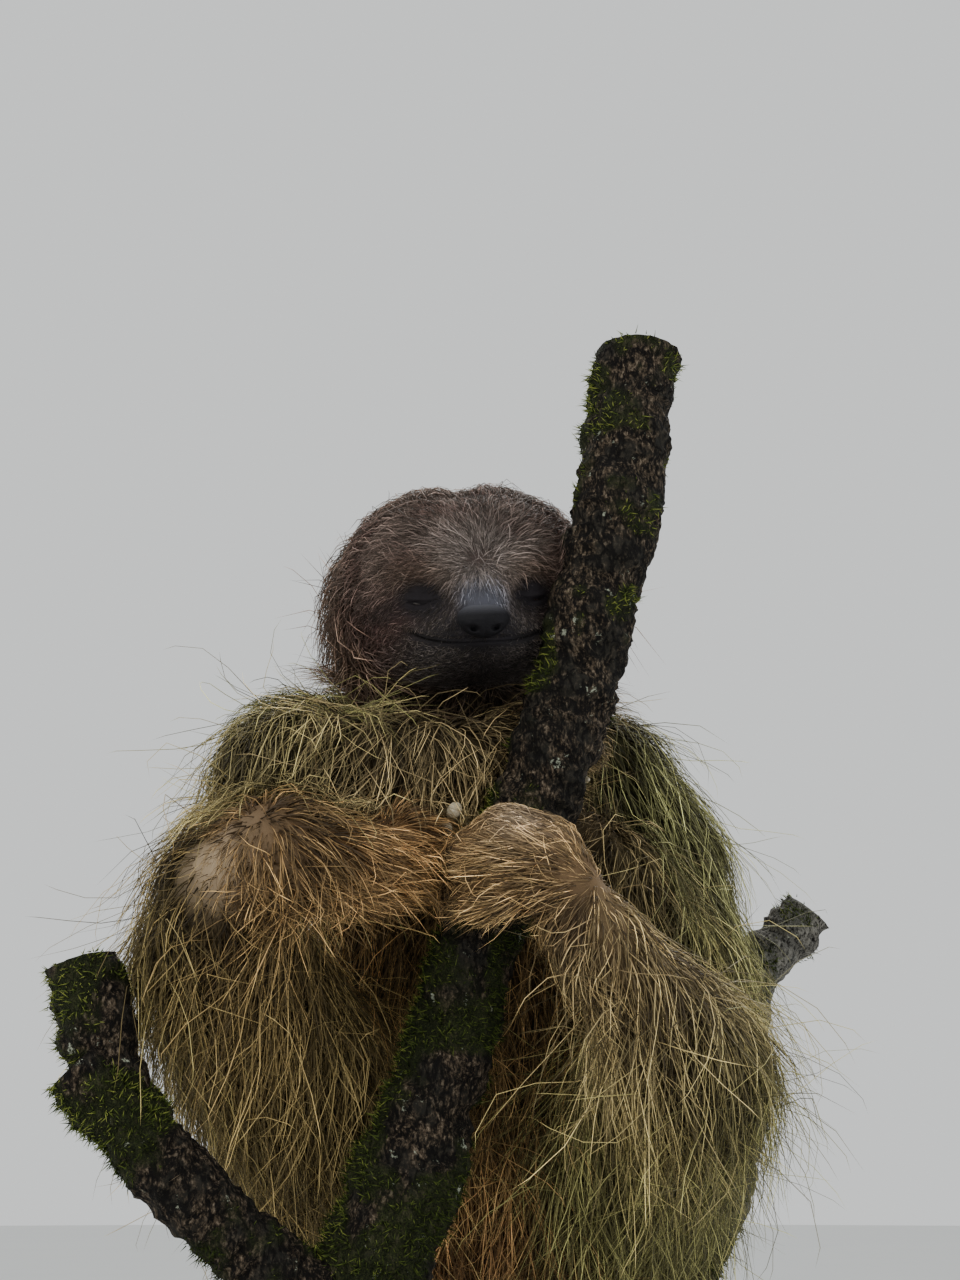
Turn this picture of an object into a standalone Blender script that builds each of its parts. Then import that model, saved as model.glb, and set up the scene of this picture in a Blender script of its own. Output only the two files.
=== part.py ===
# Brown-throated three-toed sloth, life size, hugging a forked bough on a plain museum stand.
# Metres, +Z up.  The animal faces -Y; "left" and "right" are the animal's own.
# The origin is the centre of the underside of the stand's base.
import math

import bmesh
import bpy
from mathutils import Euler, Matrix, Vector, noise

for old in list(bpy.data.objects):
    bpy.data.objects.remove(old, do_unlink=True)


# ------------------------------------------------------------------ scene and shared shapes

SEAM = 0.0003            # gap left between neighbouring solids
UP = Vector((0, 0, 1))
BACK = Vector((0, 1, 0))

parts = bpy.data.collections.new("three_toed_sloth")
cutters = bpy.data.collections.new("cutters")
for collection in (parts, cutters):
    bpy.context.scene.collection.children.link(collection)


def paint(name, colour, roughness, metallic=0.0):
    """A plain Principled material."""
    material = bpy.data.materials.new(name)
    material.use_nodes = True
    shader = material.node_tree.nodes["Principled BSDF"]
    shader.inputs["Base Color"].default_value = (*colour, 1)
    shader.inputs["Roughness"].default_value = roughness
    shader.inputs["Metallic"].default_value = metallic
    material.diffuse_color = (*colour, 1)
    return material


def mesh_from(bm, name):
    """A mesh of what the bmesh holds, in triangles that all look out."""
    bmesh.ops.recalc_face_normals(bm, faces=bm.faces)
    bmesh.ops.triangulate(bm, faces=bm.faces, quad_method="FIXED")
    mesh = bpy.data.meshes.new(name)
    bm.to_mesh(mesh)
    bm.free()
    return mesh


def hill(offset, width):
    """A smooth hill, 1 at its middle."""
    return math.exp(-(offset / width) ** 2)


def along(points, steps):
    """A Catmull-Rom run through rows of numbers, with `steps` samples to a span."""
    rows = [points[0], *points, points[-1]]
    run = []
    for before, start, end, after in zip(rows, rows[1:], rows[2:], rows[3:]):
        for k in range(steps):
            t = k / steps
            run.append([0.5 * (2 * q + (r - p) * t + (2 * p - 5 * q + 4 * r - s) * t ** 2
                               + (3 * q - p - 3 * r + s) * t ** 3)
                        for p, q, r, s in zip(before, start, end, after)])
    run.append(list(points[-1]))
    return run


def limb(stations, across=UP, sides=10, steps=2, tip=0.7, gnarl=0.0, flat=()):
    """A shape function for a loft through stations (x, y, z, half width, half thickness, hang).

    The thickness is measured on the side nearest to `across`.  `hang` lowers the underside, where
    long hair falls.  The ends are rounded over `tip` times the half thickness, or cut flat if
    `flat` names them.  `gnarl` roughens the surface.  The shape function takes a cutter's margin.
    """
    def shape(margin):
        run = along(stations, steps)
        centres = [Vector(row[:3]) for row in run]
        last = len(run) - 1
        bm = bmesh.new()
        rings = []
        for k, (x, y, z, wide, thick, hang) in enumerate(run):
            ahead = (centres[min(k + 1, last)] - centres[max(k - 1, 0)]).normalized()
            side = ahead.cross(across).normalized()
            top = side.cross(ahead)
            slices = [(0.0, 1.0)]
            if k == 0 and "start" in flat:
                slices = [(-margin, 1.0)]
            elif k == last and "end" in flat:
                slices = [(margin, 1.0)]
            elif k in (0, last):
                reach = tip * thick + margin
                dome = [(reach * math.sin(turn), math.cos(turn)) for turn in (0.55, 1.1)]
                slices = slices + dome if k else [(-shift, scale) for shift, scale in dome[::-1]] + slices
            for shift, scale in slices:
                ring = []
                for j in range(sides):
                    turn = math.tau * j / sides
                    spoke = side * math.cos(turn) + top * math.sin(turn)
                    rough = gnarl * noise.noise((centres[k] + spoke * thick) * 60) if gnarl else 0.0
                    spot = (side * math.cos(turn) * (wide + margin + rough)
                            + top * math.sin(turn) * (thick + margin + rough))
                    spot.z -= (hang + margin) * max(0.0, -spoke.z) if hang else 0.0
                    ring.append(bm.verts.new(centres[k] + ahead * shift + spot * scale))
                rings.append(ring)
        for ring, following in zip(rings, rings[1:]):
            for j in range(sides):
                i = (j + 1) % sides
                bm.faces.new((ring[j], ring[i], following[i], following[j]))
        for ring in (rings[0], rings[-1]):
            bm.faces.new(ring)
        return mesh_from(bm, "limb")
    return shape


def ball(middle, radii, turn=Matrix.Identity(3), mould=None, detail=3):
    """A shape function for an ellipsoid; `mould` may move a point of it, given in its own axes."""
    def shape(margin):
        bm = bmesh.new()
        bmesh.ops.create_icosphere(bm, subdivisions=detail, radius=1)
        for vert in bm.verts:
            heading = vert.co.normalized()
            spot = Vector([heading[k] * radii[k] for k in range(3)])
            if mould:
                spot = mould(heading)
            vert.co = Vector(middle) + turn @ (spot + heading * margin)
        return mesh_from(bm, "ball")
    return shape


# A solid is listed before the softer solids that give way to it.
solids = []


def solid(name, material, shape, joint):
    """List one named solid; `joint` is where its own origin lies."""
    solids.append((name, material, shape, Vector(joint)))


# ------------------------------------------------------------------ stand: base and two rods

BASE_RADIUS = 0.135
BASE_THICK = 0.018
BASE_EDGE = 0.003
ROD_RADIUS = 0.006
ROD_DEPTH = 0.016        # how far a rod goes up into the wood

blackened = paint("stand_black", (0.03, 0.03, 0.032), 0.45)
steel = paint("stand_steel", (0.55, 0.55, 0.55), 0.3, 1.0)


def disc(radius, bottom, top, edge, sides):
    """A shape function for an upright round bar or plate with softened edges."""
    def shape(margin):
        bm = bmesh.new()
        bmesh.ops.create_cone(bm, cap_ends=True, segments=sides, radius1=radius + margin,
                              radius2=radius + margin, depth=top - bottom + 2 * margin,
                              matrix=Matrix.Translation((0, 0, (top + bottom) / 2)))
        if edge:
            rims = [e for e in bm.edges if e.calc_length() < radius and e.verts[0].co.z == e.verts[1].co.z]
            bmesh.ops.bevel(bm, geom=rims, offset=edge, segments=1, affect="EDGES", profile=0.5)
        return mesh_from(bm, "disc")
    return shape


def moved(shape, by):
    """The same shape, moved."""
    def result(margin):
        mesh = shape(margin)
        mesh.transform(Matrix.Translation(by))
        return mesh
    return result


# The cut ends of the bough that the rods hold: (x, y, z of the cut)
TRUNK_FOOT = Vector((-0.046, -0.050, 0.062))
SEAT_FOOT = Vector((0.040, 0.022, 0.078))

solid("stand_base", blackened, disc(BASE_RADIUS, 0, BASE_THICK, BASE_EDGE, 32), (0, 0, 0))
for name, foot in (("stand_rod_front", TRUNK_FOOT), ("stand_rod_back", SEAT_FOOT)):
    rod = disc(ROD_RADIUS, BASE_THICK + SEAM, foot.z + ROD_DEPTH, 0, 16)
    solid(name, steel, moved(rod, (foot.x, foot.y, 0)), (foot.x, foot.y, BASE_THICK))


# ------------------------------------------------------------------ perch: a forked bough

bark = paint("bark", (0.09, 0.07, 0.045), 0.9)

BOUGH_Y = -0.065         # the bough stands in the plane the animal's arms and legs close round
BOUGH_R = 0.0155
BARK_ROUGH = 0.003       # how far the bark stands out or in

bough_line = [(0.060, BOUGH_Y + 0.004, 0.468), (0.053, BOUGH_Y, 0.410), (0.043, BOUGH_Y, 0.368),
              (0.0335, BOUGH_Y, 0.330), (0.0205, BOUGH_Y, 0.290), (0.0070, BOUGH_Y, 0.262),
              (-0.0045, BOUGH_Y, 0.227), (-0.0165, BOUGH_Y, 0.187), (-0.0290, BOUGH_Y, 0.150),
              (-0.0400, BOUGH_Y, 0.118), (-0.0450, BOUGH_Y + 0.010, 0.088), TRUNK_FOOT[:]]
bough_radius = [BOUGH_R, BOUGH_R, BOUGH_R, BOUGH_R * 0.98, BOUGH_R * 0.94, BOUGH_R * 0.9,
                BOUGH_R * 0.9, BOUGH_R * 0.96, BOUGH_R * 1.15, BOUGH_R * 1.3, BOUGH_R * 1.15, BOUGH_R]
bough = [(*spot, r, r, 0) for spot, r in zip(bough_line, bough_radius)]
front_branch = [(-0.043, -0.068, 0.117, 0.013, 0.013, 0), (-0.070, -0.076, 0.134, 0.012, 0.012, 0),
                (-0.104, -0.086, 0.166, 0.0115, 0.0115, 0), (-0.134, -0.092, 0.196, 0.0105, 0.0105, 0)]
upper_branch = [(-0.101, -0.083, 0.162, 0.0105, 0.0105, 0), (-0.121, -0.082, 0.190, 0.0115, 0.0115, 0),
                (-0.135, -0.080, 0.232, 0.0125, 0.0125, 0)]
seat_branch = [(-0.044, -0.050, 0.100, 0.013, 0.013, 0), (-0.010, -0.018, 0.086, 0.0135, 0.0135, 0),
               (0.040, 0.022, 0.0915, 0.013, 0.013, 0), (0.086, 0.046, 0.136, 0.012, 0.012, 0),
               (0.1035, 0.053, 0.192, 0.0115, 0.0115, 0), (0.1110, 0.051, 0.238, 0.0115, 0.0115, 0),
               (0.1360, 0.048, 0.268, 0.011, 0.011, 0)]
for name, line in (("perch_bough", bough), ("perch_branch_front", front_branch),
                   ("perch_branch_upper", upper_branch), ("perch_branch_seat", seat_branch)):
    solid(name, bark, limb(line, across=BACK, steps=1, gnarl=BARK_ROUGH, flat=("start", "end")), line[0][:3])


# ------------------------------------------------------------------ claws, hooked round the bough

horn = paint("claw_horn", (0.62, 0.53, 0.36), 0.4)

CLAW_WIDE = 0.0030       # half the depth of a claw at its root, measured along the hook's radius
CLAW_FLAT = 0.7          # its thickness as a share of that


def bough_at(height):
    """The bough's middle at a height, and its direction there."""
    for upper, lower in zip(bough_line, bough_line[1:]):
        if lower[2] <= height <= upper[2]:
            upper, lower = Vector(upper), Vector(lower)
            return lower.lerp(upper, (height - lower.z) / (upper.z - lower.z)), (upper - lower).normalized()


def hooked_claws(paw, height, pitch, radius, start, sweep):
    """Three claws, one above the other, that run round the bough from angle `start` through `sweep`.

    Angles are in degrees, from the animal's left round to its back.
    """
    for k, finger in enumerate(("upper", "middle", "lower")):
        middle, grain = bough_at(height + (1 - k) * pitch)
        leftward = BACK.cross(grain)
        stations = []
        for step in range(5):
            turn = math.radians(start + sweep * step / 4)
            spot = middle + (leftward * math.cos(turn) + BACK * math.sin(turn)) * radius
            wide = CLAW_WIDE * (1 - 0.8 * (step / 4) ** 1.5)
            stations.append((*spot, wide, wide * CLAW_FLAT, 0))
        solid(f"claw_{paw}_{finger}", horn, limb(stations, across=grain, sides=6, steps=1, tip=1.2),
              stations[0][:3])


hooked_claws("foot_right", 0.2690, 0.0070, 0.0256, 190, -98)
hooked_claws("foot_left", 0.2610, 0.0074, 0.0188, 214, -104)
hooked_claws("hand_right", 0.3150, 0.0086, 0.0198, 80, -40)
hooked_claws("hand_left", 0.2930, 0.0066, 0.0194, 84, 58)


# ------------------------------------------------------------------ nose, eyes and the head's form

dark_skin = paint("nose_skin", (0.035, 0.03, 0.03), 0.5)
eye_gloss = paint("eye", (0.02, 0.014, 0.01), 0.1)
head_fur = paint("fur_head", (0.16, 0.10, 0.065), 0.9)
body_fur = paint("fur_body", (0.24, 0.19, 0.10), 0.9)

HEAD = Vector((-0.0055, -0.036, 0.3805))
HEAD_TURN = Euler((math.radians(14), math.radians(-4), math.radians(6)), "YXZ").to_matrix()
SKULL = (0.0515, 0.0445, 0.0425)      # half width, half depth and half height, with the coat
EYE = (0.0194, -0.0370, -0.0060)      # in the head's own axes: its face looks along -Y
EYE_RADIUS = 0.0052
NOSE = (0.0, -0.0605, -0.0148)


def head_form(heading):
    """The furred head: a blunt short muzzle, sunk eyes, full cheeks and a hood of hair."""
    power = 2 + 0.9 * max(0.0, -heading.z) + 0.3 * max(0.0, heading.z)
    size = sum(abs(heading[k] / SKULL[k]) ** power for k in range(3)) ** (-1 / power)
    spot = heading * size
    if heading.y < 0:
        front = min(1.0, -2.5 * heading.y)
        muzzle = 0.0175 * hill(spot.x, 0.021) * hill(spot.z + 0.0155, 0.0165)
        chin = 0.004 * hill(spot.x, 0.022) * hill(spot.z + 0.030, 0.010)
        brow = 0.0030 * hill(abs(spot.x) - 0.020, 0.012) * hill(spot.z - 0.008, 0.007)
        socket = 0.0062 * hill(abs(spot.x) - EYE[0], 0.0085) * hill(spot.z - EYE[2], 0.0065)
        spot.y -= front * (muzzle + chin + brow - socket)
    spot.z -= 0.0022 * hill(spot.x + 0.002, 0.006) * max(0.0, heading.z) ** 2
    return spot


for side, x in (("right", -EYE[0]), ("left", EYE[0])):
    eye = HEAD + HEAD_TURN @ Vector((x, EYE[1], EYE[2]))
    solid(f"eye_{side}", eye_gloss, ball(eye, (EYE_RADIUS,) * 3, detail=2), eye)
nose = HEAD + HEAD_TURN @ Vector(NOSE)
solid("nose", dark_skin, ball(nose, (0.0108, 0.0060, 0.0064), HEAD_TURN, detail=2), nose)


# ------------------------------------------------------------------ paws
# Each limb is a few stations: place, half width, half thickness, hang of the hair below.

foot_fur = paint("fur_foot", (0.36, 0.22, 0.11), 0.85)
arm_fur = paint("fur_arm", (0.33, 0.27, 0.13), 0.9)
leg_fur = paint("fur_leg", (0.32, 0.25, 0.14), 0.9)

ANKLE_R = (-0.068, -0.116, 0.2625)
ANKLE_L = (0.0395, -0.095, 0.2405)
KNEE_R = (-0.094, -0.050, 0.2380)
KNEE_L = (0.076, -0.052, 0.2000)
HIP_R = (-0.048, 0.022, 0.168)
HIP_L = (0.048, 0.026, 0.162)
ELBOW_R = (-0.069, -0.082, 0.2965)
ELBOW_L = (0.078, -0.016, 0.2300)
SHOULDER_R = (-0.062, 0.012, 0.326)
SHOULDER_L = (0.057, 0.012, 0.322)
WRIST_R = (0.008, -0.030, 0.312)
WRIST_L = (0.050, -0.026, 0.2700)

foot_left = [(*ANKLE_L, 0.0175, 0.0150, 0.010), (0.0215, -0.098, 0.2655, 0.0180, 0.0140, 0.008),
             (0.008, -0.0955, 0.2685, 0.0175, 0.0125, 0.005), (-0.0065, -0.086, 0.265, 0.0150, 0.0105, 0.003)]
solid("foot_left", foot_fur, limb(foot_left, across=BACK), ANKLE_L)
foot_right = [(*ANKLE_R, 0.0180, 0.0170, 0.010), (-0.047, -0.102, 0.2640, 0.0175, 0.0160, 0.010),
              (-0.029, -0.084, 0.2650, 0.0160, 0.0145, 0.006),
              (-0.0185, -0.073, 0.2655, 0.0125, 0.0120, 0.003)]
solid("foot_right", foot_fur, limb(foot_right), ANKLE_R)
hand_right = [(*WRIST_R, 0.0150, 0.0170, 0.006), (0.024, -0.031, 0.3150, 0.0130, 0.0165, 0.003),
              (0.040, -0.040, 0.3160, 0.0100, 0.0140, 0.0)]
solid("hand_right", arm_fur, limb(hand_right), WRIST_R)
hand_left = [(*WRIST_L, 0.0160, 0.0170, 0.006), (0.040, -0.030, 0.2840, 0.0140, 0.0150, 0.003),
             (0.0235, -0.0385, 0.2915, 0.0100, 0.0125, 0.0)]
solid("hand_left", arm_fur, limb(hand_left), WRIST_L)

NAPE = (-0.008, -0.010, 0.3620)
neck = [(*NAPE, 0.0465, 0.0420, 0), (-0.004, 0.008, 0.3450, 0.0570, 0.0470, 0),
        (0.0, 0.024, 0.3240, 0.0620, 0.0510, 0)]
solid("neck", body_fur, limb(neck, across=BACK), neck[-1][:3])
solid("head", head_fur, ball(HEAD, SKULL, HEAD_TURN, head_form, detail=4), HEAD)


# ------------------------------------------------------------------ arms and legs

forearm_right = [(*ELBOW_R, 0.0240, 0.0225, 0.012), (-0.044, -0.070, 0.3030, 0.0215, 0.0215, 0.013),
                 (-0.018, -0.052, 0.3095, 0.0195, 0.0205, 0.012), (*WRIST_R, 0.0150, 0.0175, 0.006)]
solid("forearm_right", arm_fur, limb(forearm_right), ELBOW_R)
shin_right = [(*ANKLE_R, 0.0210, 0.0200, 0.026), (-0.086, -0.092, 0.2585, 0.0270, 0.0250, 0.034),
              (*KNEE_R, 0.0300, 0.0290, 0.030)]
solid("shin_right", leg_fur, limb(shin_right), ANKLE_R)
shin_left = [(*ANKLE_L, 0.0170, 0.0165, 0.020), (0.059, -0.082, 0.2205, 0.0230, 0.0230, 0.036),
             (*KNEE_L, 0.0300, 0.0290, 0.048)]
solid("shin_left", leg_fur, limb(shin_left, across=BACK), ANKLE_L)
forearm_left = [(*WRIST_L, 0.0165, 0.0175, 0.008), (0.067, -0.022, 0.2480, 0.0215, 0.0215, 0.012),
                (*ELBOW_L, 0.0240, 0.0250, 0.016)]
solid("forearm_left", arm_fur, limb(forearm_left, across=BACK), ELBOW_L)
upper_arm_right = [(*SHOULDER_R, 0.0350, 0.0350, 0.004), (-0.067, -0.036, 0.3150, 0.0290, 0.0300, 0.006),
                   (-0.069, -0.072, 0.3010, 0.0255, 0.0250, 0.008)]
solid("upper_arm_right", arm_fur, limb(upper_arm_right), SHOULDER_R)
upper_arm_left = [(*SHOULDER_L, 0.0340, 0.0340, 0), (0.069, 0.004, 0.2830, 0.0310, 0.0320, 0),
                  (0.077, -0.012, 0.2400, 0.0265, 0.0280, 0.012)]
solid("upper_arm_left", arm_fur, limb(upper_arm_left, across=BACK), SHOULDER_L)
thigh_right = [(*KNEE_R, 0.0310, 0.0320, 0.050), (-0.075, -0.020, 0.2060, 0.0380, 0.0400, 0.040),
               (*HIP_R, 0.0430, 0.0430, 0.020)]
solid("thigh_right", leg_fur, limb(thigh_right), HIP_R)
thigh_left = [(*KNEE_L, 0.0300, 0.0310, 0.048), (0.066, -0.018, 0.1840, 0.0360, 0.0380, 0.044),
              (*HIP_L, 0.0420, 0.0420, 0.022)]
solid("thigh_left", leg_fur, limb(thigh_left), HIP_L)


# ------------------------------------------------------------------ trunk and tail

WAIST = 0.225            # height at which the chest meets the belly

torso = [(0.0, 0.018, 0.338, 0.052, 0.042, 0), (0.0, 0.031, 0.310, 0.072, 0.060, 0),
         (0.0, 0.041, 0.270, 0.079, 0.069, 0), (0.0, 0.046, 0.225, 0.081, 0.074, 0),
         (0.0, 0.047, 0.180, 0.082, 0.076, 0), (0.0, 0.044, 0.145, 0.075, 0.069, 0),
         (0.0, 0.040, 0.120, 0.057, 0.054, 0)]


def one_side(shape, height, sign):
    """What lies above (sign 1) or below (sign -1) a level, with half a seam left at the cut."""
    def result(margin):
        bm = bmesh.new()
        bm.from_mesh(shape(margin))
        bmesh.ops.bisect_plane(bm, geom=[*bm.verts, *bm.edges, *bm.faces], clear_inner=True,
                               plane_co=(0, 0, height + sign * (SEAM / 2 - margin)), plane_no=(0, 0, sign))
        bmesh.ops.holes_fill(bm, edges=[e for e in bm.edges if e.is_boundary], sides=0)
        return mesh_from(bm, "side")
    return result


whole_torso = limb(torso, across=BACK, sides=14, tip=0.4)
solid("chest", body_fur, one_side(whole_torso, WAIST, 1), torso[0][:3])
solid("belly", body_fur, one_side(whole_torso, WAIST, -1), (*torso[3][:2], WAIST))
tail = [(0.0, 0.096, 0.140, 0.0190, 0.0170, 0), (0.0, 0.112, 0.124, 0.0180, 0.0160, 0),
        (0.0, 0.120, 0.104, 0.0120, 0.0110, 0)]
solid("tail", body_fur, limb(tail), tail[0][:3])


# ------------------------------------------------------------------ parting the solids

def bounds(obj):
    """The corners of an object's box in its own coordinates."""
    spots = [v.co for v in obj.data.vertices]
    return ([min(s[k] for s in spots) for k in range(3)], [max(s[k] for s in spots) for k in range(3)])


def near(one, other):
    """Whether two boxes meet."""
    return all(one[0][k] < other[1][k] and other[0][k] < one[1][k] for k in range(3))


COPLANAR = math.radians(1)


def tidy_cut(mesh):
    """Drop the slivers that a cut leaves beside the main body, and merge its coplanar triangles."""
    bm = bmesh.new()
    bm.from_mesh(mesh)
    left = set(bm.verts)
    bodies = []
    while left:
        body, edge = set(), [next(iter(left))]
        while edge:
            vert = edge.pop()
            if vert in body:
                continue
            body.add(vert)
            edge.extend(e.other_vert(vert) for e in vert.link_edges)
        left -= body
        bodies.append(body)
    bodies.sort(key=len)
    for body in bodies[:-1]:
        bmesh.ops.delete(bm, geom=list(body), context="VERTS")
    bmesh.ops.dissolve_limit(bm, angle_limit=COPLANAR, verts=bm.verts, edges=bm.edges)
    bmesh.ops.triangulate(bm, faces=bm.faces)
    bm.to_mesh(mesh)
    bm.free()


earlier = []
for name, material, shape, joint in solids:
    body = bpy.data.objects.new(name, shape(0.0))
    parts.objects.link(body)
    body.data.name = name
    for cutter in earlier:
        if near(bounds(body), bounds(cutter)):
            parting = body.modifiers.new(cutter.name, "BOOLEAN")
            parting.operation = "DIFFERENCE"
            parting.object = cutter
    shaped = bpy.data.meshes.new_from_object(body.evaluated_get(bpy.context.evaluated_depsgraph_get()))
    body.modifiers.clear()
    body.data = shaped
    tidy_cut(shaped)
    shaped.name = name
    shaped.transform(Matrix.Translation(-joint))
    shaped.materials.clear()
    shaped.materials.append(material)
    body.location = joint

    cutter = bpy.data.objects.new("cut_" + name, shape(SEAM))
    cutters.objects.link(cutter)
    cutter.display_type = "WIRE"
    cutter.hide_render = True
    earlier.append(cutter)

for cutter in earlier:
    bpy.data.objects.remove(cutter, do_unlink=True)
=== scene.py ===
import math

import bmesh
import bpy
import numpy as np
from mathutils import Euler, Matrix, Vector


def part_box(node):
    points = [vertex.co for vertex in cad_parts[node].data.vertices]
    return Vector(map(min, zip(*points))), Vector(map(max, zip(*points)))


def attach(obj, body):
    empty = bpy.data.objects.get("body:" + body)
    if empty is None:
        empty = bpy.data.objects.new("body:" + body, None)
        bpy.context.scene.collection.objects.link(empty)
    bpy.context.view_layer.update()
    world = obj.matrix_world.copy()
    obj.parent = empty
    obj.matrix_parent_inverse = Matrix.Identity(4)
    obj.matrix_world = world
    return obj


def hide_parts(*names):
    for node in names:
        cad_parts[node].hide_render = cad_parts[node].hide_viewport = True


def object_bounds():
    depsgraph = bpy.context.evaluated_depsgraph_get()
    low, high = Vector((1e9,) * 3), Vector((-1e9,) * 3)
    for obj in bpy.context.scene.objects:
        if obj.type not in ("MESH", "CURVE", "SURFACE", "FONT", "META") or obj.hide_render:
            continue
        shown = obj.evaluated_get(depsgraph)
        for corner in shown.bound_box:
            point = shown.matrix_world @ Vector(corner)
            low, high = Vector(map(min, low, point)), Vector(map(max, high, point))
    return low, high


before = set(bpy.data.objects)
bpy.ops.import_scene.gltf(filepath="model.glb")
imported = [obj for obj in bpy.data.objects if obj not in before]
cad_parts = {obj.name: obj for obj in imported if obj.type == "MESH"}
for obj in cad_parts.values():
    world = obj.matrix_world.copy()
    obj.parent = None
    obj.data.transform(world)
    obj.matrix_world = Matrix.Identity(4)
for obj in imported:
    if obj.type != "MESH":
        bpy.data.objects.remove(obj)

solid_box = [list(corner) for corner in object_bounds()]


# ---------------------------------------------------------------- camera
# A 50 mm lens a little under the animal's chin height, tipped up at it as a visitor looks up
# into a low tree.

lens = bpy.data.cameras.new("camera")
lens.lens = 50
lens.sensor_width = 36
lens.clip_start = 0.02
camera = bpy.data.objects.new("camera", lens)
camera.location = (0.0, -0.691, 0.16)
camera.rotation_euler = (math.radians(107), 0, 0)
bpy.context.scene.collection.objects.link(camera)
bpy.context.scene.camera = camera


# ---------------------------------------------------------------- lamps and surroundings
# Soft white studio panels: a broad one high in front, a weaker one at the right, and one
# above and behind that lights the edge of the coat.  The room itself is pale grey.

def panel(name, place, aim, size, power, warmth):
    """A square lamp of a given size, turned so that it faces a point."""
    lamp = bpy.data.lights.new(name, "AREA")
    lamp.size = size
    lamp.energy = power
    lamp.color = warmth
    stand = bpy.data.objects.new(name, lamp)
    stand.location = place
    away = np.array(place) - np.array(aim)
    flat = math.hypot(away[0], away[1])
    stand.rotation_euler = (math.atan2(flat, away[2]), 0, math.atan2(away[0], -away[1]))
    bpy.context.scene.collection.objects.link(stand)


AIM = (0.0, -0.02, 0.27)
panel("lamp_front", (-0.75, -1.15, 1.25), AIM, 1.1, 12, (1.0, 0.97, 0.92))
panel("lamp_side", (1.2, -0.85, 0.55), AIM, 1.2, 4, (0.93, 0.97, 1.0))
panel("lamp_back", (0.25, 1.05, 1.25), AIM, 1.0, 22, (1.0, 0.99, 0.96))

room = bpy.data.worlds.new("room")
bpy.context.scene.world = room
room.use_nodes = True
room.node_tree.nodes["Background"].inputs["Color"].default_value = (0.86, 0.88, 0.88, 1)
room.node_tree.nodes["Background"].inputs["Strength"].default_value = 1.0


# ---------------------------------------------------------------- floor
# A pale, matt studio floor.  It is stage only, and isn't part of the model.

class Signal:
    """A number, colour or vector that comes out of a node; arithmetic on it adds Math nodes."""

    def __init__(self, finish, socket):
        self.finish = finish
        self.socket = socket

    def math(self, kind, first, second):
        return self.finish.node("Math", {"operation": kind}, {0: first, 1: second})

    def __add__(self, other):
        return self.math("ADD", self, other)

    def __sub__(self, other):
        return self.math("SUBTRACT", self, other)

    def __rsub__(self, other):
        return self.math("SUBTRACT", other, self)

    def __mul__(self, other):
        return self.math("MULTIPLY", self, other)

    __radd__ = __add__
    __rmul__ = __mul__


class Finish:
    """One material and the nodes that make its colour, roughness and relief."""

    def __init__(self, name):
        self.material = bpy.data.materials.new(name)
        self.material.use_nodes = True
        self.tree = self.material.node_tree
        self.tree.nodes.clear()

    def node(self, kind, settings, sockets, out=0):
        """Adds a node: its settings are made first, then its sockets get values or links."""
        made = self.tree.nodes.new("ShaderNode" + kind)
        for setting, value in settings.items():
            if setting == "stops":
                ramp = made.color_ramp
                while len(ramp.elements) < len(value):
                    ramp.elements.new(0.5)
                for stop, (place, colour) in zip(ramp.elements, value):
                    stop.position = place
                    stop.color = (*colour, 1)
            else:
                setattr(made, setting, value)
        for socket, value in sockets.items():
            if isinstance(value, Signal):
                self.tree.links.new(value.socket, made.inputs[socket])
            elif isinstance(value, tuple) and len(value) == 3 and made.inputs[socket].type == "RGBA":
                made.inputs[socket].default_value = (*value, 1)
            else:
                made.inputs[socket].default_value = value
        return Signal(self, made.outputs[out])

    def place(self):
        """Where a point of the piece is, in metres."""
        return self.node("TexCoord", {}, {}, "Object")

    def stretched(self, scale):
        """The place, with each axis drawn out by its own factor."""
        return self.node("Mapping", {}, {"Vector": self.place(), "Scale": scale}, "Vector")

    def grain(self, vector, scale, detail=4.0, rough=0.6):
        """Soft random cloud, 0 to 1, with `scale` features to a metre."""
        return self.node("TexNoise", {}, {"Vector": vector, "Scale": scale, "Detail": detail,
                                          "Roughness": rough}, "Fac")

    def ramp(self, signal, stops):
        """Colours spaced along a signal."""
        return self.node("ValToRGB", {"stops": stops}, {"Fac": signal}, "Color")

    def step(self, signal, low, high):
        """0 below `low`, 1 above `high`, and smooth between."""
        return self.node("MapRange", {"interpolation_type": "SMOOTHSTEP"},
                         {"Value": signal, "From Min": low, "From Max": high}, "Result")

    def mix(self, share, first, second):
        """A colour between two colours."""
        return self.node("Mix", {"data_type": "RGBA"}, {0: share, 6: first, 7: second}, 2)

    def painted(self, name, out="Color"):
        """What is painted on the mesh's points: a colour, or a number where `out` is "Fac"."""
        return self.node("Attribute", {"attribute_name": name}, {}, out)

    def relief(self, height, distance, strength=1.0):
        """A Bump node that reads a height."""
        return self.node("Bump", {}, {"Height": height, "Distance": distance, "Strength": strength},
                         "Normal")

    def close(self, colour, rough, normal=None, metal=0.0, shine=0.5):
        """The surface itself."""
        sockets = {"Base Color": colour, "Roughness": rough, "Metallic": metal,
                   "Specular IOR Level": shine}
        if normal:
            sockets["Normal"] = normal
        surface = self.node("BsdfPrincipled", {}, sockets, "BSDF")
        output = self.tree.nodes.new("ShaderNodeOutputMaterial")
        self.tree.links.new(surface.socket, output.inputs["Surface"])
        return self.material


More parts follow.
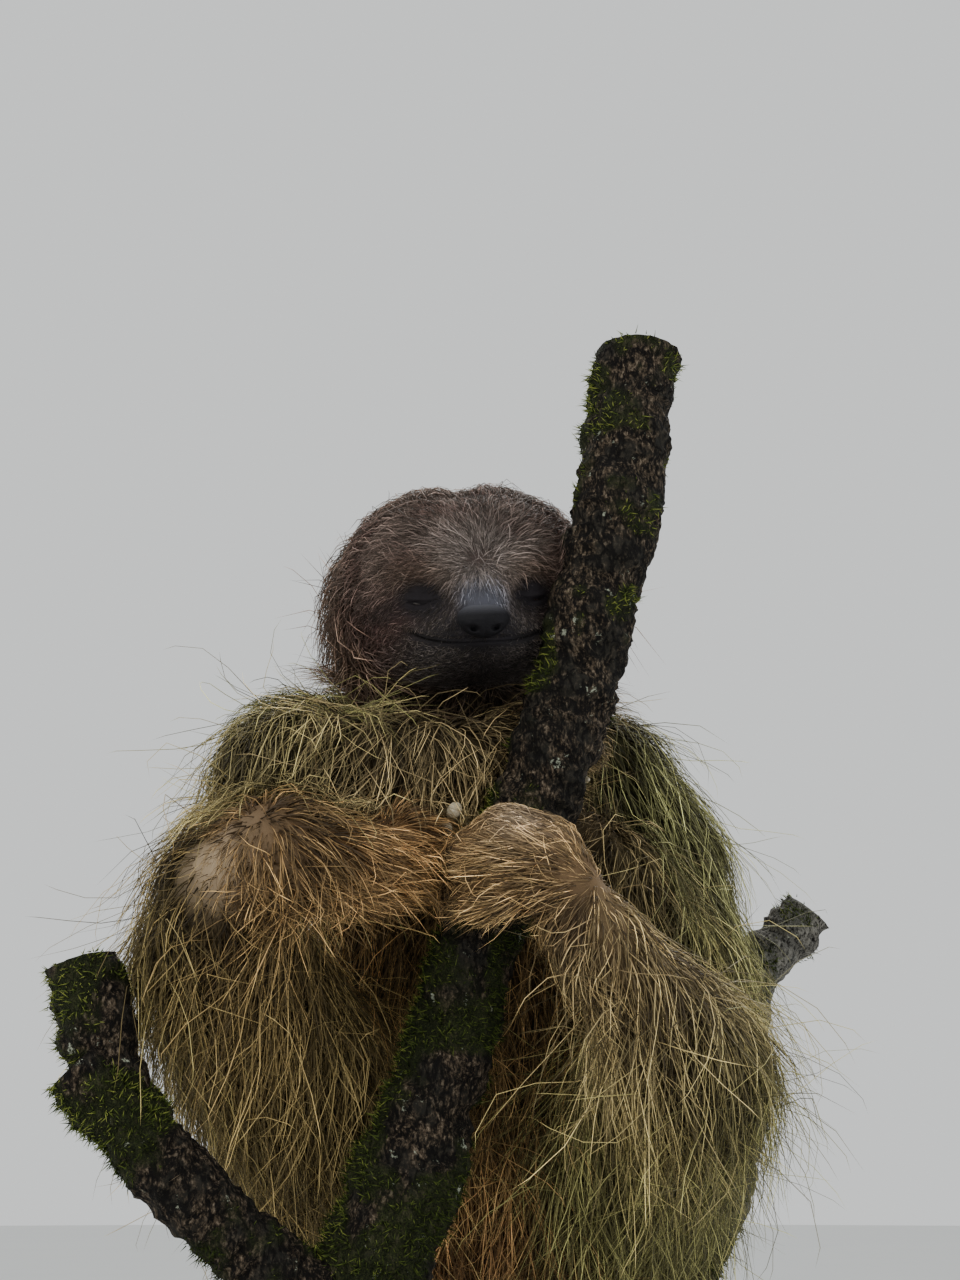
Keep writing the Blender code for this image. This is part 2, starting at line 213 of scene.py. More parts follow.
def surface_piece(name, points, faces, material):
    """A mesh object from an array of points and arrays of three- and four-sided faces."""
    mesh = bpy.data.meshes.new(name)
    corners = np.concatenate([np.asarray(f).ravel() for f in faces])
    sizes = np.concatenate([np.full(len(f), np.shape(f)[1]) for f in faces])
    mesh.vertices.add(len(points))
    mesh.vertices.foreach_set("co", np.asarray(points, np.float32).ravel())
    mesh.loops.add(len(corners))
    mesh.loops.foreach_set("vertex_index", corners.astype(np.int32))
    mesh.polygons.add(len(sizes))
    mesh.polygons.foreach_set("loop_start", (np.cumsum(sizes) - sizes).astype(np.int32))
    mesh.polygons.foreach_set("loop_total", sizes.astype(np.int32))
    mesh.update(calc_edges=True)
    mesh.polygons.foreach_set("use_smooth", np.full(len(sizes), True))
    mesh.materials.append(material)
    piece = bpy.data.objects.new(name, mesh)
    bpy.context.scene.collection.objects.link(piece)
    return piece


def grid_faces(rows, around):
    """Four-sided faces between rows of points, where each row closes on itself."""
    first = np.arange(around)
    second = (first + 1) % around
    base = (np.arange(rows - 1) * around)[:, None]
    return np.stack([base + first, base + second, base + around + second, base + around + first],
                    -1).reshape(-1, 4)


def pole_faces(row, around, pole, outward):
    """Three-sided faces from a row of points to one point, turned to face out."""
    first = row * around + np.arange(around)
    second = row * around + (np.arange(around) + 1) % around
    tip = np.full(around, pole)
    return np.stack([first, second, tip] if outward else [second, first, tip], -1)


def rings_of(profile, around):
    """A ring of points round the z axis for each (radius, height) row of a profile."""
    radius, height = np.array(profile).T
    turn = np.linspace(0, 2 * math.pi, around, endpoint=False)
    return np.stack([radius[:, None] * np.cos(turn), radius[:, None] * np.sin(turn),
                     height[:, None] + 0 * turn], -1).reshape(-1, 3)


FLOOR_RADII = (0.2, 0.6, 2.0, 7.0)
FLOOR_AROUND = 64
floor_finish = Finish("floor_matt")
floor_colour = floor_finish.mix(floor_finish.grain(floor_finish.place(), 3.0), (0.70, 0.71, 0.70),
                                (0.74, 0.745, 0.735))
floor_points = rings_of([(radius, 0.0) for radius in FLOOR_RADII], FLOOR_AROUND)
floor_faces = [grid_faces(len(FLOOR_RADII), FLOOR_AROUND)[:, ::-1],
               pole_faces(0, FLOOR_AROUND, len(floor_points), True)]
floor = surface_piece("floor", np.vstack([floor_points, [0, 0, 0]]), floor_faces,
                      floor_finish.close(floor_colour, 0.8))


# ---------------------------------------------------------------- display stand
# A turned disc of satin black lacquered board with a rounded rim, and two brushed steel rods
# that stand on it in small flanges and run up into the underside of the wood.

def tube_faces(rows, around):
    """All faces of a closed piece: rows of points, then one point that closes each end."""
    return [grid_faces(rows, around), pole_faces(0, around, rows * around, False),
            pole_faces(rows - 1, around, rows * around + 1, True)]


def turned(profile, around):
    """A closed surface of revolution: rings, and a point on the axis at each end."""
    ends = [[0, 0, profile[0][1]], [0, 0, profile[-1][1]]]
    return np.vstack([rings_of(profile, around), ends]), tube_faces(len(profile), around)


BASE_AROUND = 160
BASE_CHAMFER = 0.0015
RIM = 0.003
base_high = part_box("stand_base")[1]
base_reach, base_top = base_high.x, base_high.z
rim_turn = np.linspace(0, math.pi / 2, 7)
base_profile = ([(base_reach * 0.5, 0.0), (base_reach - BASE_CHAMFER, 0.0), (base_reach, BASE_CHAMFER)]
                + [(base_reach - RIM + RIM * math.cos(t), base_top - RIM + RIM * math.sin(t))
                   for t in rim_turn]
                + [(base_reach * 0.97, base_top), (base_reach * 0.5, base_top)])
base_points, base_faces = turned(base_profile, BASE_AROUND)

lacquer = Finish("stand_black_lacquer")
lacquer_cloud = lacquer.grain(lacquer.place(), 900.0, 2.0)
lacquer_wear = lacquer.grain(lacquer.place(), 40.0, 6.0)
lacquer_colour = lacquer.mix(lacquer.step(lacquer_wear, 0.55, 0.8), (0.018, 0.018, 0.019),
                             (0.034, 0.034, 0.036))
lacquer_material = lacquer.close(lacquer_colour, 0.34 + 0.16 * lacquer_wear,
                                 lacquer.relief(lacquer_cloud, 0.0002, 0.4))
stand_base = surface_piece("stand_base_disc", base_points, base_faces, lacquer_material)
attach(stand_base, "root")
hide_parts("stand_base")

steel = Finish("stand_brushed_steel")
brushing = steel.grain(steel.stretched((1.0, 1.0, 0.03)), 2600.0, 2.0)
steel_colour = steel.mix(brushing, (0.42, 0.42, 0.43), (0.62, 0.62, 0.62))
steel_material = steel.close(steel_colour, 0.24 + 0.2 * brushing, steel.relief(brushing, 0.0002, 0.3),
                             1.0)
ROD_AROUND = 40
FLANGE_WIDE = 0.0035
FLANGE_TALL = 0.004
FLANGE_BEVEL = 0.001
for rod_name in ("stand_rod_front", "stand_rod_back"):
    low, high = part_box(rod_name)
    rod_radius = (high.x - low.x) / 2
    flange = rod_radius + FLANGE_WIDE
    rod_profile = [(rod_radius, low.z), (flange, low.z), (flange, low.z + FLANGE_TALL - FLANGE_BEVEL),
                   (flange - FLANGE_BEVEL, low.z + FLANGE_TALL), (rod_radius, low.z + FLANGE_TALL),
                   (rod_radius, high.z)]
    rod_points, rod_faces = turned(rod_profile, ROD_AROUND)
    rod_points += [(low.x + high.x) / 2, (low.y + high.y) / 2, 0]
    rod = surface_piece(rod_name + "_steel", rod_points, rod_faces, steel_material)
    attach(rod, "root")
    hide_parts(rod_name)


# ---------------------------------------------------------------- perch: bark
# A slanting trunk and three branches of living wood with rough, cross-ridged bark, knots, moss
# and lichen.  Each end is sawn across, and the branches grow out of the trunk's foot.

def ramp_up(value, start, over):
    """0 below `start`, then rising to 1 over a stretch."""
    return np.clip((value - start) / over, 0, 1)


def ramp_down(value, end, over):
    """0 above `end`, and 1 where the value is below it by a stretch or more."""
    return np.clip((end - value) / over, 0, 1)


def clouds(points, size, seed):
    """Value noise, -1 to 1: random numbers on a lattice `size` apart, mixed by a smooth curve
    between the eight lattice corners round each point."""
    spot = np.asarray(points, float) / size
    cell = np.floor(spot).astype(np.int64)
    part = spot - cell
    part = part * part * (3 - 2 * part)
    total = np.zeros(spot.shape[:-1])
    for corner in np.ndindex(2, 2, 2):
        place = cell + np.array(corner)
        key = (place[..., 0] * 73856093) ^ (place[..., 1] * 19349663) ^ (place[..., 2] * 83492791)
        key = (key ^ (seed * 2654435761)) & 0xffffffff
        key = ((key ^ (key >> 15)) * 2246822519) & 0xffffffff
        key = ((key ^ (key >> 13)) * 3266489917) & 0xffffffff
        value = ((key ^ (key >> 16)) & 0xffff) / 32767.5 - 1
        weight = np.prod(np.where(corner, part, 1 - part), -1)
        total += weight * value
    return total


def unit(vectors):
    """Vectors, each divided by its length."""
    return vectors / np.maximum(np.linalg.norm(vectors, axis=-1, keepdims=True), 1e-9)


def route(stations, steps):
    """A Catmull-Rom curve through rows of numbers, with `steps` rows to a span."""
    rows = np.array(stations, float)
    rows = np.vstack([2 * rows[0] - rows[1], rows, 2 * rows[-1] - rows[-2]])
    t = np.linspace(0, 1, steps, endpoint=False)[:, None]
    spans = []
    for p, q, r, s in zip(rows, rows[1:], rows[2:], rows[3:]):
        spans.append(0.5 * (2 * q + (r - p) * t + (2 * p - 5 * q + 4 * r - s) * t ** 2
                            + (3 * q - p - 3 * r + s) * t ** 3))
    return np.vstack(spans + [rows[-2]])


BOUGH_Y = -0.065
BOUGH_R = 0.0155
BOUGH = [(0.060, -0.061, 0.468, 1.0), (0.053, BOUGH_Y, 0.410, 1.0), (0.043, BOUGH_Y, 0.368, 1.0),
         (0.0335, BOUGH_Y, 0.330, 0.98), (0.0205, BOUGH_Y, 0.290, 0.94),
         (0.0070, BOUGH_Y, 0.262, 0.9), (-0.0045, BOUGH_Y, 0.227, 0.9),
         (-0.0165, BOUGH_Y, 0.187, 0.96), (-0.0290, BOUGH_Y, 0.150, 1.15),
         (-0.0400, BOUGH_Y, 0.118, 1.3), (-0.0450, -0.055, 0.088, 1.15),
         (-0.046, -0.050, 0.062, 1.0)]
wood = {
    "perch_bough": [(x, y, z, BOUGH_R * r) for x, y, z, r in BOUGH],
    "perch_branch_front": [(-0.043, -0.068, 0.117, 0.014), (-0.070, -0.076, 0.134, 0.0122),
                           (-0.104, -0.086, 0.166, 0.0115), (-0.134, -0.092, 0.196, 0.0105)],
    "perch_branch_upper": [(-0.099, -0.084, 0.160, 0.0105), (-0.121, -0.082, 0.190, 0.0112),
                           (-0.135, -0.080, 0.232, 0.0118)],
    "perch_branch_seat": [(-0.044, -0.050, 0.100, 0.013), (-0.010, -0.018, 0.086, 0.0135),
                          (0.040, 0.022, 0.0915, 0.013), (0.086, 0.046, 0.136, 0.0118),
                          (0.1035, 0.053, 0.192, 0.0112), (0.1110, 0.051, 0.238, 0.0112),
                          (0.1360, 0.048, 0.268, 0.0106)],
}

bark = Finish("bark_mossy")
bark_cut = bark.painted("cut", "Fac")
bark_moss = bark.painted("moss", "Fac")
bark_flat = bark.stretched((1.0, 1.0, 0.55))
bark_fine = bark.grain(bark_flat, 700.0, 6.0, 0.75)
bark_warp = bark.node("VectorMath", {"operation": "MULTIPLY_ADD"},
                      {0: bark.node("TexNoise", {}, {"Vector": bark_flat, "Scale": 300.0}, "Color"),
                       1: (0.011, 0.011, 0.011), 2: bark_flat}, "Vector")
bark_cells = bark.node("TexVoronoi", {"feature": "DISTANCE_TO_EDGE"},
                       {"Vector": bark_warp, "Scale": 150.0}, "Distance")
bark_crack = bark.step(bark_cells + 0.5 * (bark_fine - 0.5), 0.0, 0.16)
bark_broad = bark.grain(bark.place(), 75.0, 5.0)
bark_speck = bark.grain(bark.place(), 1900.0, 3.0, 0.7)
lichen_patch = bark.grain(bark.place(), 130.0, 6.0, 0.75)
bark_colour = bark.ramp(bark_fine, [(0.36, (0.004, 0.004, 0.004)), (0.47, (0.022, 0.017, 0.012)),
                                    (0.56, (0.095, 0.070, 0.047)), (0.66, (0.27, 0.215, 0.155))])
bark_colour = bark.mix(0.85 * bark.step(bark_broad, 0.44, 0.60), bark_colour, (0.020, 0.019, 0.016))
# Painted shade: the cracks between the bark plates are painted near black.
bark_colour = bark.mix(0.9 * (1 - bark_crack), bark_colour, (0.006, 0.005, 0.005))
moss_colour = bark.mix(bark.step(bark_speck, 0.35, 0.7), (0.008, 0.012, 0.005), (0.045, 0.055, 0.018))
bark_colour = bark.mix(0.85 * bark_moss, bark_colour, moss_colour)
bark_pale = bark.painted("pale", "Fac")
bark_colour = bark.mix(0.75 * bark_pale * bark.step(bark_fine, 0.38, 0.56), bark_colour,
                       bark.mix(lichen_patch, (0.10, 0.095, 0.082), (0.42, 0.41, 0.37)))
bark_colour = bark.mix(bark.step(lichen_patch, 0.635, 0.67), bark_colour,
                       bark.mix(bark_speck, (0.28, 0.31, 0.23), (0.50, 0.53, 0.42)))
sawn_rings = bark.grain(bark.place(), 900.0, 2.0)
sawn_colour = bark.mix(sawn_rings, (0.33, 0.24, 0.14), (0.50, 0.39, 0.25))
bark_colour = bark.mix(bark_cut, bark_colour, sawn_colour)
bark_height = bark_fine + 0.35 * bark_speck + 0.5 * bark_crack
bark_material = bark.close(bark_colour, 0.74 + 0.22 * bark_speck, bark.relief(bark_height, 0.0016, 1.0),
                           shine=0.12)


def mark(piece, name, values):
    """Paints a number on each point of a piece."""
    layer = piece.data.attributes.new(name, "FLOAT", "POINT")
    layer.data.foreach_set("value", np.asarray(values, np.float32).ravel())


def moss_on(points, outward):
    """Where moss grows, 0 to 1: in patches, more on the shaded side and low down."""
    patch = clouds(points, 0.019, 61) + 0.6 * clouds(points, 0.006, 62) - 0.35 * outward[..., 0]
    return np.clip(2.6 * (patch + 0.05 + 0.8 * np.clip(0.20 - points[..., 2], -0.1, 0.1)), 0, 1)


BARK_PITCH = 0.0010
CAP_SCALE = np.array([0.985, 0.9, 0.6, 0.3])


def bark_tube(name, stations, around, seed):
    """A branch: circles round a smooth path.  The radius gets broad swellings, then cross ridges
    that are long round the branch and short along it, then fine grit.  Both ends are sawn flat."""
    stations = np.array(stations)
    long_way = np.linalg.norm(np.diff(stations[:, :3], axis=0), axis=1).sum()
    path = route(stations, max(2, int(long_way / BARK_PITCH / (len(stations) - 1))))
    middle, radius = path[:, :3], path[:, 3]
    ahead = unit(np.gradient(middle, axis=0))
    side = unit(np.cross(ahead, [0, 1, 0]))
    front = np.cross(side, ahead)
    turn = np.linspace(0, 2 * math.pi, around, endpoint=False)
    spoke = (side[:, None] * np.cos(turn)[None, :, None] + front[:, None] * np.sin(turn)[None, :, None])
    bare = middle[:, None] + spoke * radius[:, None, None]
    squeezed = middle[:, None] + spoke * radius[:, None, None] * 0.35
    ridge = 1 - 2 * np.abs(clouds(squeezed + seed, 0.0042, seed))
    plate = clouds(squeezed + seed, 0.0085, seed + 1)
    swell = clouds(bare, 0.026, seed + 2)
    knot = np.clip(clouds(bare, 0.034, seed + 4) - 0.45, 0, 1)
    grit = clouds(bare, 0.0017, seed + 3)
    bump = 0.0012 * swell + 0.0013 * ridge + 0.0017 * plate + 0.0006 * grit + 0.0035 * knot
    rows = bare + spoke * bump[..., None]
    rim = rows[[0, -1]]
    start = middle[0] + (rim[0] - middle[0]) * CAP_SCALE[::-1, None, None]
    finish = middle[-1] + (rim[1] - middle[-1]) * CAP_SCALE[:, None, None]
    points = np.concatenate([start, rows, finish]).reshape(-1, 3)
    count = len(points) // around
    points = np.vstack([points, middle[0], middle[-1]])
    piece = surface_piece(name, points, tube_faces(count, around), bark_material)
    between_caps = slice(len(CAP_SCALE) * around, (count - len(CAP_SCALE)) * around)
    sawn = np.ones(len(points))
    sawn[between_caps] = 0
    mossy = np.zeros(len(points))
    mossy[between_caps] = moss_on(rows, spoke).ravel()
    mark(piece, "cut", sawn)
    mark(piece, "moss", mossy)
    mark(piece, "pale", ramp_up(points[:, 0], 0.090, 0.02))
    return piece, rows.reshape(-1, 3), spoke.reshape(-1, 3)


bark_seats = []
for seed, (name, stations) in enumerate(wood.items()):
    around = 150 if name == "perch_bough" else 96
    piece, seats, outward = bark_tube(name + "_bark", stations, around, 11 * seed + 5)
    bark_seats.append(np.hstack([seats, outward]))
    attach(piece, "root")
    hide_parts(name)


# ---------------------------------------------------------------- skin
# One closed skin under the coat.  It is worked out as a field, the distance to the nearest of
# the body's rounded bones of flesh, which run together smoothly, and the surface is drawn where
# that distance is nought.

HEAD = np.array((-0.0055, -0.036, 0.3805))
HEAD_TURN = np.array(Euler((math.radians(14), math.radians(-4), math.radians(6)), "YXZ").to_matrix())
EYE = np.array((0.0194, -0.0350, -0.0060))
EYE_RADIUS = 0.0052
NOSE = np.array((0.0, -0.0598, -0.0154))
SKULL_WIDE = 0.0470
SKULL_HIGH = 0.0370
FACE_DEEP = 0.0435
NAPE_DEEP = 0.0370

flesh = {
    "chest": [(-0.020, 0.030, 0.308, 0.038), (0.020, 0.030, 0.308, 0.038)],
    "belly": [(0.0, 0.036, 0.290, 0.050), (0.0, 0.045, 0.215, 0.057), (0.0, 0.046, 0.165, 0.053)],
    "tail": [(0.0, 0.090, 0.138, 0.013), (0.0, 0.113, 0.124, 0.010)],
    "neck": [(-0.008, -0.006, 0.362, 0.032), (0.0, 0.024, 0.320, 0.040)],
    "upper_arm_right": [(-0.053, 0.014, 0.317, 0.0245), (-0.067, -0.036, 0.314, 0.0195),
                        (-0.069, -0.080, 0.2975, 0.0155)],
    "forearm_right": [(-0.069, -0.080, 0.2975, 0.0150), (-0.044, -0.070, 0.303, 0.0135),
                      (-0.018, -0.052, 0.3095, 0.0125), (0.008, -0.033, 0.312, 0.0105)],
    "hand_right": [(0.008, -0.033, 0.312, 0.0105), (0.024, -0.0335, 0.315, 0.0095),
                   (0.040, -0.041, 0.316, 0.0070)],
    "upper_arm_left": [(0.049, 0.014, 0.314, 0.0245), (0.069, 0.004, 0.283, 0.0205),
                       (0.077, -0.014, 0.234, 0.0165)],
    "forearm_left": [(0.077, -0.014, 0.234, 0.0160), (0.067, -0.022, 0.248, 0.0135),
                     (0.050, -0.027, 0.270, 0.0105)],
    "hand_left": [(0.050, -0.027, 0.270, 0.0105), (0.040, -0.031, 0.284, 0.0092),
                  (0.0235, -0.0395, 0.2915, 0.0070)],
    "thigh_right": [(-0.046, 0.024, 0.168, 0.034), (-0.075, -0.020, 0.206, 0.0285),
                    (-0.092, -0.050, 0.236, 0.0215)],
    "shin_right": [(-0.092, -0.050, 0.236, 0.0210), (-0.086, -0.090, 0.2585, 0.0180),
                   (-0.068, -0.113, 0.2640, 0.0135)],
    "foot_right": [(-0.068, -0.113, 0.2640, 0.0130), (-0.047, -0.101, 0.2625, 0.0122),
                   (-0.031, -0.0865, 0.2645, 0.0110), (-0.0230, -0.0790, 0.2652, 0.0088)],
    "thigh_left": [(0.046, 0.026, 0.162, 0.034), (0.064, -0.018, 0.184, 0.0265),
                   (0.073, -0.050, 0.200, 0.0195)],
    "shin_left": [(0.073, -0.050, 0.200, 0.0190), (0.059, -0.080, 0.2185, 0.0155),
                  (0.0395, -0.094, 0.2385, 0.0100)],
    "foot_left": [(0.0395, -0.094, 0.2385, 0.0100), (0.0215, -0.097, 0.2655, 0.0135),
                  (0.0095, -0.0965, 0.2705, 0.0122), (-0.0005, -0.0905, 0.2672, 0.0100)],
}
WIDER = {"belly": 1.16}
toes = [[(0.012, -0.0985, z, 0.0058), (-0.0095, -0.0780, z, 0.0045)] for z in (0.2684, 0.2610, 0.2536)]
toes += [[(-0.030, -0.084, z, 0.0062), (-0.0145, -0.071, z, 0.0050)] for z in (0.2760, 0.2690, 0.2620)]


def hill(offset, width):
    """A smooth bump, 1 at nought and fading over `width`."""
    return np.exp(-(offset / width) ** 2)


def near_spot(points, spot, width, shape=(1, 1, 1)):
    """How near points are to a spot: 1 at it and fading over `width`, stretched by a shape."""
    return hill(np.linalg.norm((points - np.array(spot)) / shape, axis=1), width)


def within(offset, limit, soft):
    """1 below a limit and 0 above it, with a soft edge."""
    return 1 / (1 + np.exp((offset - limit) / soft))


def bone_distance(x, y, z, stations, wide=1.0):
    """Distance to a chain of tapered rods with round ends: for each rod, the distance to the
    nearest point of its middle line, less the radius there.  The chain's is the least of them."""
    nearest = None
    for (ax, ay, az, ar), (bx, by, bz, br) in zip(stations, stations[1:]):
        dx, dy, dz = (bx - ax) / wide, by - ay, bz - az
        px, py, pz = x / wide - ax / wide, y - ay, z - az
        share = np.clip((px * dx + py * dy + pz * dz) / (dx * dx + dy * dy + dz * dz), 0, 1)
        gap = np.sqrt((px - share * dx) ** 2 + (py - share * dy) ** 2 + (pz - share * dz) ** 2)
        gap = gap - (ar + share * (br - ar))
        nearest = gap if nearest is None else np.minimum(nearest, gap)
    return nearest


def melt(one, other, reach):
    """The lesser of two distances, rounded off where they are within `reach` of each other."""
    near = np.clip(reach - np.abs(one - other), 0, None) / reach
    return np.minimum(one, other) - near * near * reach / 4


def head_local(points):
    """Points in the head's own axes, whose face looks along -y."""
    return (points - HEAD) @ HEAD_TURN


MOUTH_LEVEL = -0.0222
MOUTH_RISE = 0.0050
MOUTH_WIDE = 0.0250


def mouth_line(across):
    """The height of the closed mouth, by the distance from the middle of the face."""
    return MOUTH_LEVEL + MOUTH_RISE * (across / MOUTH_WIDE) ** 3


def head_distance(points, fine):
    """Distance to the head.  A block with rounded corners is measured along the line to its
    middle; before that a point is drawn back by as far as the muzzle, chin and brow stand out.
    `fine` adds lids with their slit, the line of the mouth and the folds round them."""
    local = head_local(points)
    x, y, z = local[..., 0], local[..., 1], local[..., 2]
    length = np.maximum(np.linalg.norm(local, axis=-1), 1e-6)
    front = np.clip(-2.5 * y / length, 0, 1)
    up = z / length
    level = z + 0.0022 * hill(x + 0.002, 0.006) * np.clip(up, 0, 1) ** 2
    swell = (0.0175 * hill(x, 0.021) * hill(z + 0.0155, 0.0165)
             + 0.004 * hill(x, 0.022) * hill(z + 0.030, 0.010)
             + 0.0028 * hill(np.abs(x) - 0.020, 0.012) * hill(z - 0.008, 0.007)
             - 0.0050 * hill(np.abs(x) - EYE[0], 0.0085) * hill(z - EYE[2], 0.0065))
    deep = y + front * swell
    flat = np.where(deep < 0, FACE_DEEP, NAPE_DEEP)
    power = 2 + 0.9 * np.clip(-up, 0, 1) + 0.3 * np.clip(up, 0, 1)
    block = (np.abs(x / SKULL_WIDE) ** power + np.abs(deep / flat) ** power
             + np.abs(level / SKULL_HIGH) ** power) ** (1 / power)
    away = np.sqrt(x * x + deep * deep + level * level)
    gap = away * (1 - 1 / np.maximum(block, 1e-4))
    if not fine:
        return gap
    across = np.abs(x)
    ball = np.sqrt((across - EYE[0]) ** 2 + (y - EYE[1]) ** 2 + (z - EYE[2]) ** 2) - EYE_RADIUS
    gap = melt(gap, ball - 0.0008, 0.0022)
    along_lid = across - EYE[0]
    slit = EYE[2] - 0.0006 - 0.0009 * (1 - (along_lid / 0.0055) ** 2)
    lid_span = within(np.abs(along_lid), 0.0056, 0.0004)
    face_side = (y < 0).astype(float)
    gap = gap + face_side * lid_span * (0.0016 * hill(z - slit, 0.00050)
                                        - 0.0004 * hill(z - slit - 0.0012, 0.0006)
                                        + 0.0004 * hill(z - slit - 0.0036, 0.0006)
                                        + 0.0004 * hill(z - slit + 0.0038, 0.0007))
    mouth = mouth_line(across)
    mouth_span = within(across, MOUTH_WIDE, 0.0010)
    gap = gap + face_side * mouth_span * (0.0019 * hill(z - mouth, 0.0006)
                                          - 0.0003 * hill(z - mouth - 0.0018, 0.0012)
                                          - 0.0003 * hill(z - mouth + 0.0020, 0.0013))
    gap = gap + face_side * 0.0007 * hill(x, 0.0007) * hill(z - MOUTH_LEVEL - 0.0022, 0.0018)
    return gap


STEP = 0.0024
LOWEST = np.array((-0.165, -0.165, 0.055))
CELLS = np.array((138, 136, 176))
axes = [LOWEST[k] + STEP * np.arange(CELLS[k]) for k in range(3)]


def block_of(low, high):
    """The part of the grid that covers a box, as three slices and three open axes."""
    first = np.clip(((np.array(low) - LOWEST) / STEP).astype(int), 0, CELLS - 1)
    last = np.clip(((np.array(high) - LOWEST) / STEP).astype(int) + 2, 1, CELLS)
    cut = tuple(slice(a, b) for a, b in zip(first, last))
    return cut, np.ix_(*[axis[s] for axis, s in zip(axes, cut)])


def add_bone(field, stations, wide, reach, margin=0.035):
    """Melts one chain of rods into the field, near it only."""
    spots = np.array(stations)
    thick = spots[:, 3:].max() * wide + margin
    cut, (x, y, z) = block_of(spots[:, :3].min(0) - thick, spots[:, :3].max(0) + thick)
    gap = bone_distance(x, y, z, stations, wide)
    field[cut] = melt(field[cut], gap, reach)


FAR = 0.2
FLESH_BLEND = 0.012
HEAD_BLEND = 0.010
TOE_BLEND = 0.003
WOOD_BLEND = 0.004
HEAD_REACH = 0.085
skin_field = np.full(tuple(CELLS), FAR)
for name, stations in flesh.items():
    add_bone(skin_field, stations, WIDER.get(name, 1.0), FLESH_BLEND)
cut, (x, y, z) = block_of(HEAD - HEAD_REACH, HEAD + HEAD_REACH)
block = np.stack(np.broadcast_arrays(x, y, z), -1)
skin_field[cut] = melt(skin_field[cut], head_distance(block, False), HEAD_BLEND)
for toe in toes:
    add_bone(skin_field, toe, 1.0, TOE_BLEND)
wood_field = np.full(tuple(CELLS), FAR)
for stations in wood.values():
    add_bone(wood_field, stations, 1.0, WOOD_BLEND)


def surface_net(field):
    """A net of four-sided faces where a field changes sign: one point in each cell that the
    surface crosses, at the mean of the crossings on its twelve edges, and one face round each
    grid edge that it crosses."""
    cells = np.array(field.shape) - 1
    total = np.zeros((*cells, 3))
    count = np.zeros(tuple(cells))
    edges = []
    for axis in range(3):
        one, two = [k for k in range(3) if k != axis]
        head = np.take(field, np.arange(1, field.shape[axis]), axis)
        tail = np.take(field, np.arange(field.shape[axis] - 1), axis)
        crossed = (head < 0) != (tail < 0)
        i, j, k = np.nonzero(crossed)
        share = tail[i, j, k] / (tail[i, j, k] - head[i, j, k])
        spot = np.stack([i, j, k], -1).astype(float)
        spot[:, axis] += share
        node = np.stack([i, j, k], -1)
        ring = []
        for du, dv in ((0, 0), (1, 0), (1, 1), (0, 1)):
            cell = node.copy()
            cell[:, one] -= du
            cell[:, two] -= dv
            fits = np.all((cell >= 0) & (cell < cells), 1)
            flat = np.ravel_multi_index(np.clip(cell, 0, cells - 1).T, cells)
            np.add.at(count.reshape(-1), flat[fits], 1)
            np.add.at(total.reshape(-1, 3), flat[fits], spot[fits])
            ring.append(flat)
        turned_over = (head[i, j, k] < 0) != (axis == 1)
        ring = np.stack(ring, 1)
        edges.append(np.where(turned_over[:, None], ring, ring[:, ::-1]))
    used = np.nonzero(count.reshape(-1))[0]
    number = np.zeros(count.size, np.int64)
    number[used] = np.arange(len(used))
    points = total.reshape(-1, 3)[used] / count.reshape(-1)[used, None] * STEP + LOWEST
    return points, number[np.vstack(edges)]


skin_points, skin_quads = surface_net(skin_field)


def relaxed(points, quads, rounds):
    """Each point moves half-way to the mean of its neighbours along the net, `rounds` times."""
    pairs = np.vstack([quads[:, [k, (k + 1) % 4]] for k in range(4)])
    pairs = np.vstack([pairs, pairs[:, ::-1]])
    degree = np.bincount(pairs[:, 0], minlength=len(points))[:, None]
    for _ in range(rounds):
        near = np.stack([np.bincount(pairs[:, 0], points[pairs[:, 1], k], len(points))
                         for k in range(3)], 1)
        points = 0.5 * points + 0.5 * near / degree
    return points


skin_points = relaxed(skin_points, skin_quads, 2)


def in_window(points, wide, deep, low, high):
    """Which points are on the front of the head, within a window in the head's own axes."""
    x, y, z = head_local(points).T
    return (np.abs(x) < wide) & (y < deep) & (z > low) & (z < high)


# The face is divided twice more, and its points move by what the lids, mouth and folds add.
shell = bpy.data.meshes.new("shell")
shell.from_pydata(skin_points, [], skin_quads.tolist())
bm = bmesh.new()
bm.from_mesh(shell)
for wide, low, high in ((0.036, -0.038, 0.022), (0.031, -0.034, 0.012)):
    spots = np.array([vert.co for vert in bm.verts])
    chosen = in_window(spots, wide, -0.015, low, high)
    bm.verts.ensure_lookup_table()
    face_edges = [edge for edge in bm.edges
                  if chosen[edge.verts[0].index] and chosen[edge.verts[1].index]]
    bmesh.ops.subdivide_edges(bm, edges=face_edges, cuts=1, use_grid_fill=True, smooth=0.6)
    bm.verts.index_update()
bmesh.ops.triangulate(bm, faces=bm.faces[:])
bmesh.ops.recalc_face_normals(bm, faces=bm.faces[:])
bm.to_mesh(shell)
bm.free()
skin_points = np.zeros(len(shell.vertices) * 3)
shell.vertices.foreach_get("co", skin_points)
skin_points = skin_points.reshape(-1, 3)
skin_tris = np.zeros(len(shell.polygons) * 3, np.int32)
shell.polygons.foreach_get("vertices", skin_tris)
skin_tris = skin_tris.reshape(-1, 3)
bpy.data.meshes.remove(shell)


def slope(function, points, small=0.0004):
    """Which way a field grows fastest, from its change over a small step along each axis."""
    rise = [function(points + small * np.eye(3)[k]) - function(points - small * np.eye(3)[k])
            for k in range(3)]
    return unit(np.stack(rise, -1))


on_face = in_window(skin_points, 0.038, -0.014, -0.040, 0.024)
face_points = skin_points[on_face]
face_out = slope(lambda spot: head_distance(spot, False), face_points)
for _ in range(2):
    change = head_distance(face_points, True) - head_distance(skin_points[on_face], False)
    face_points = face_points - face_out * np.clip(change, -0.003, 0.003)[:, None]
skin_points[on_face] = face_points


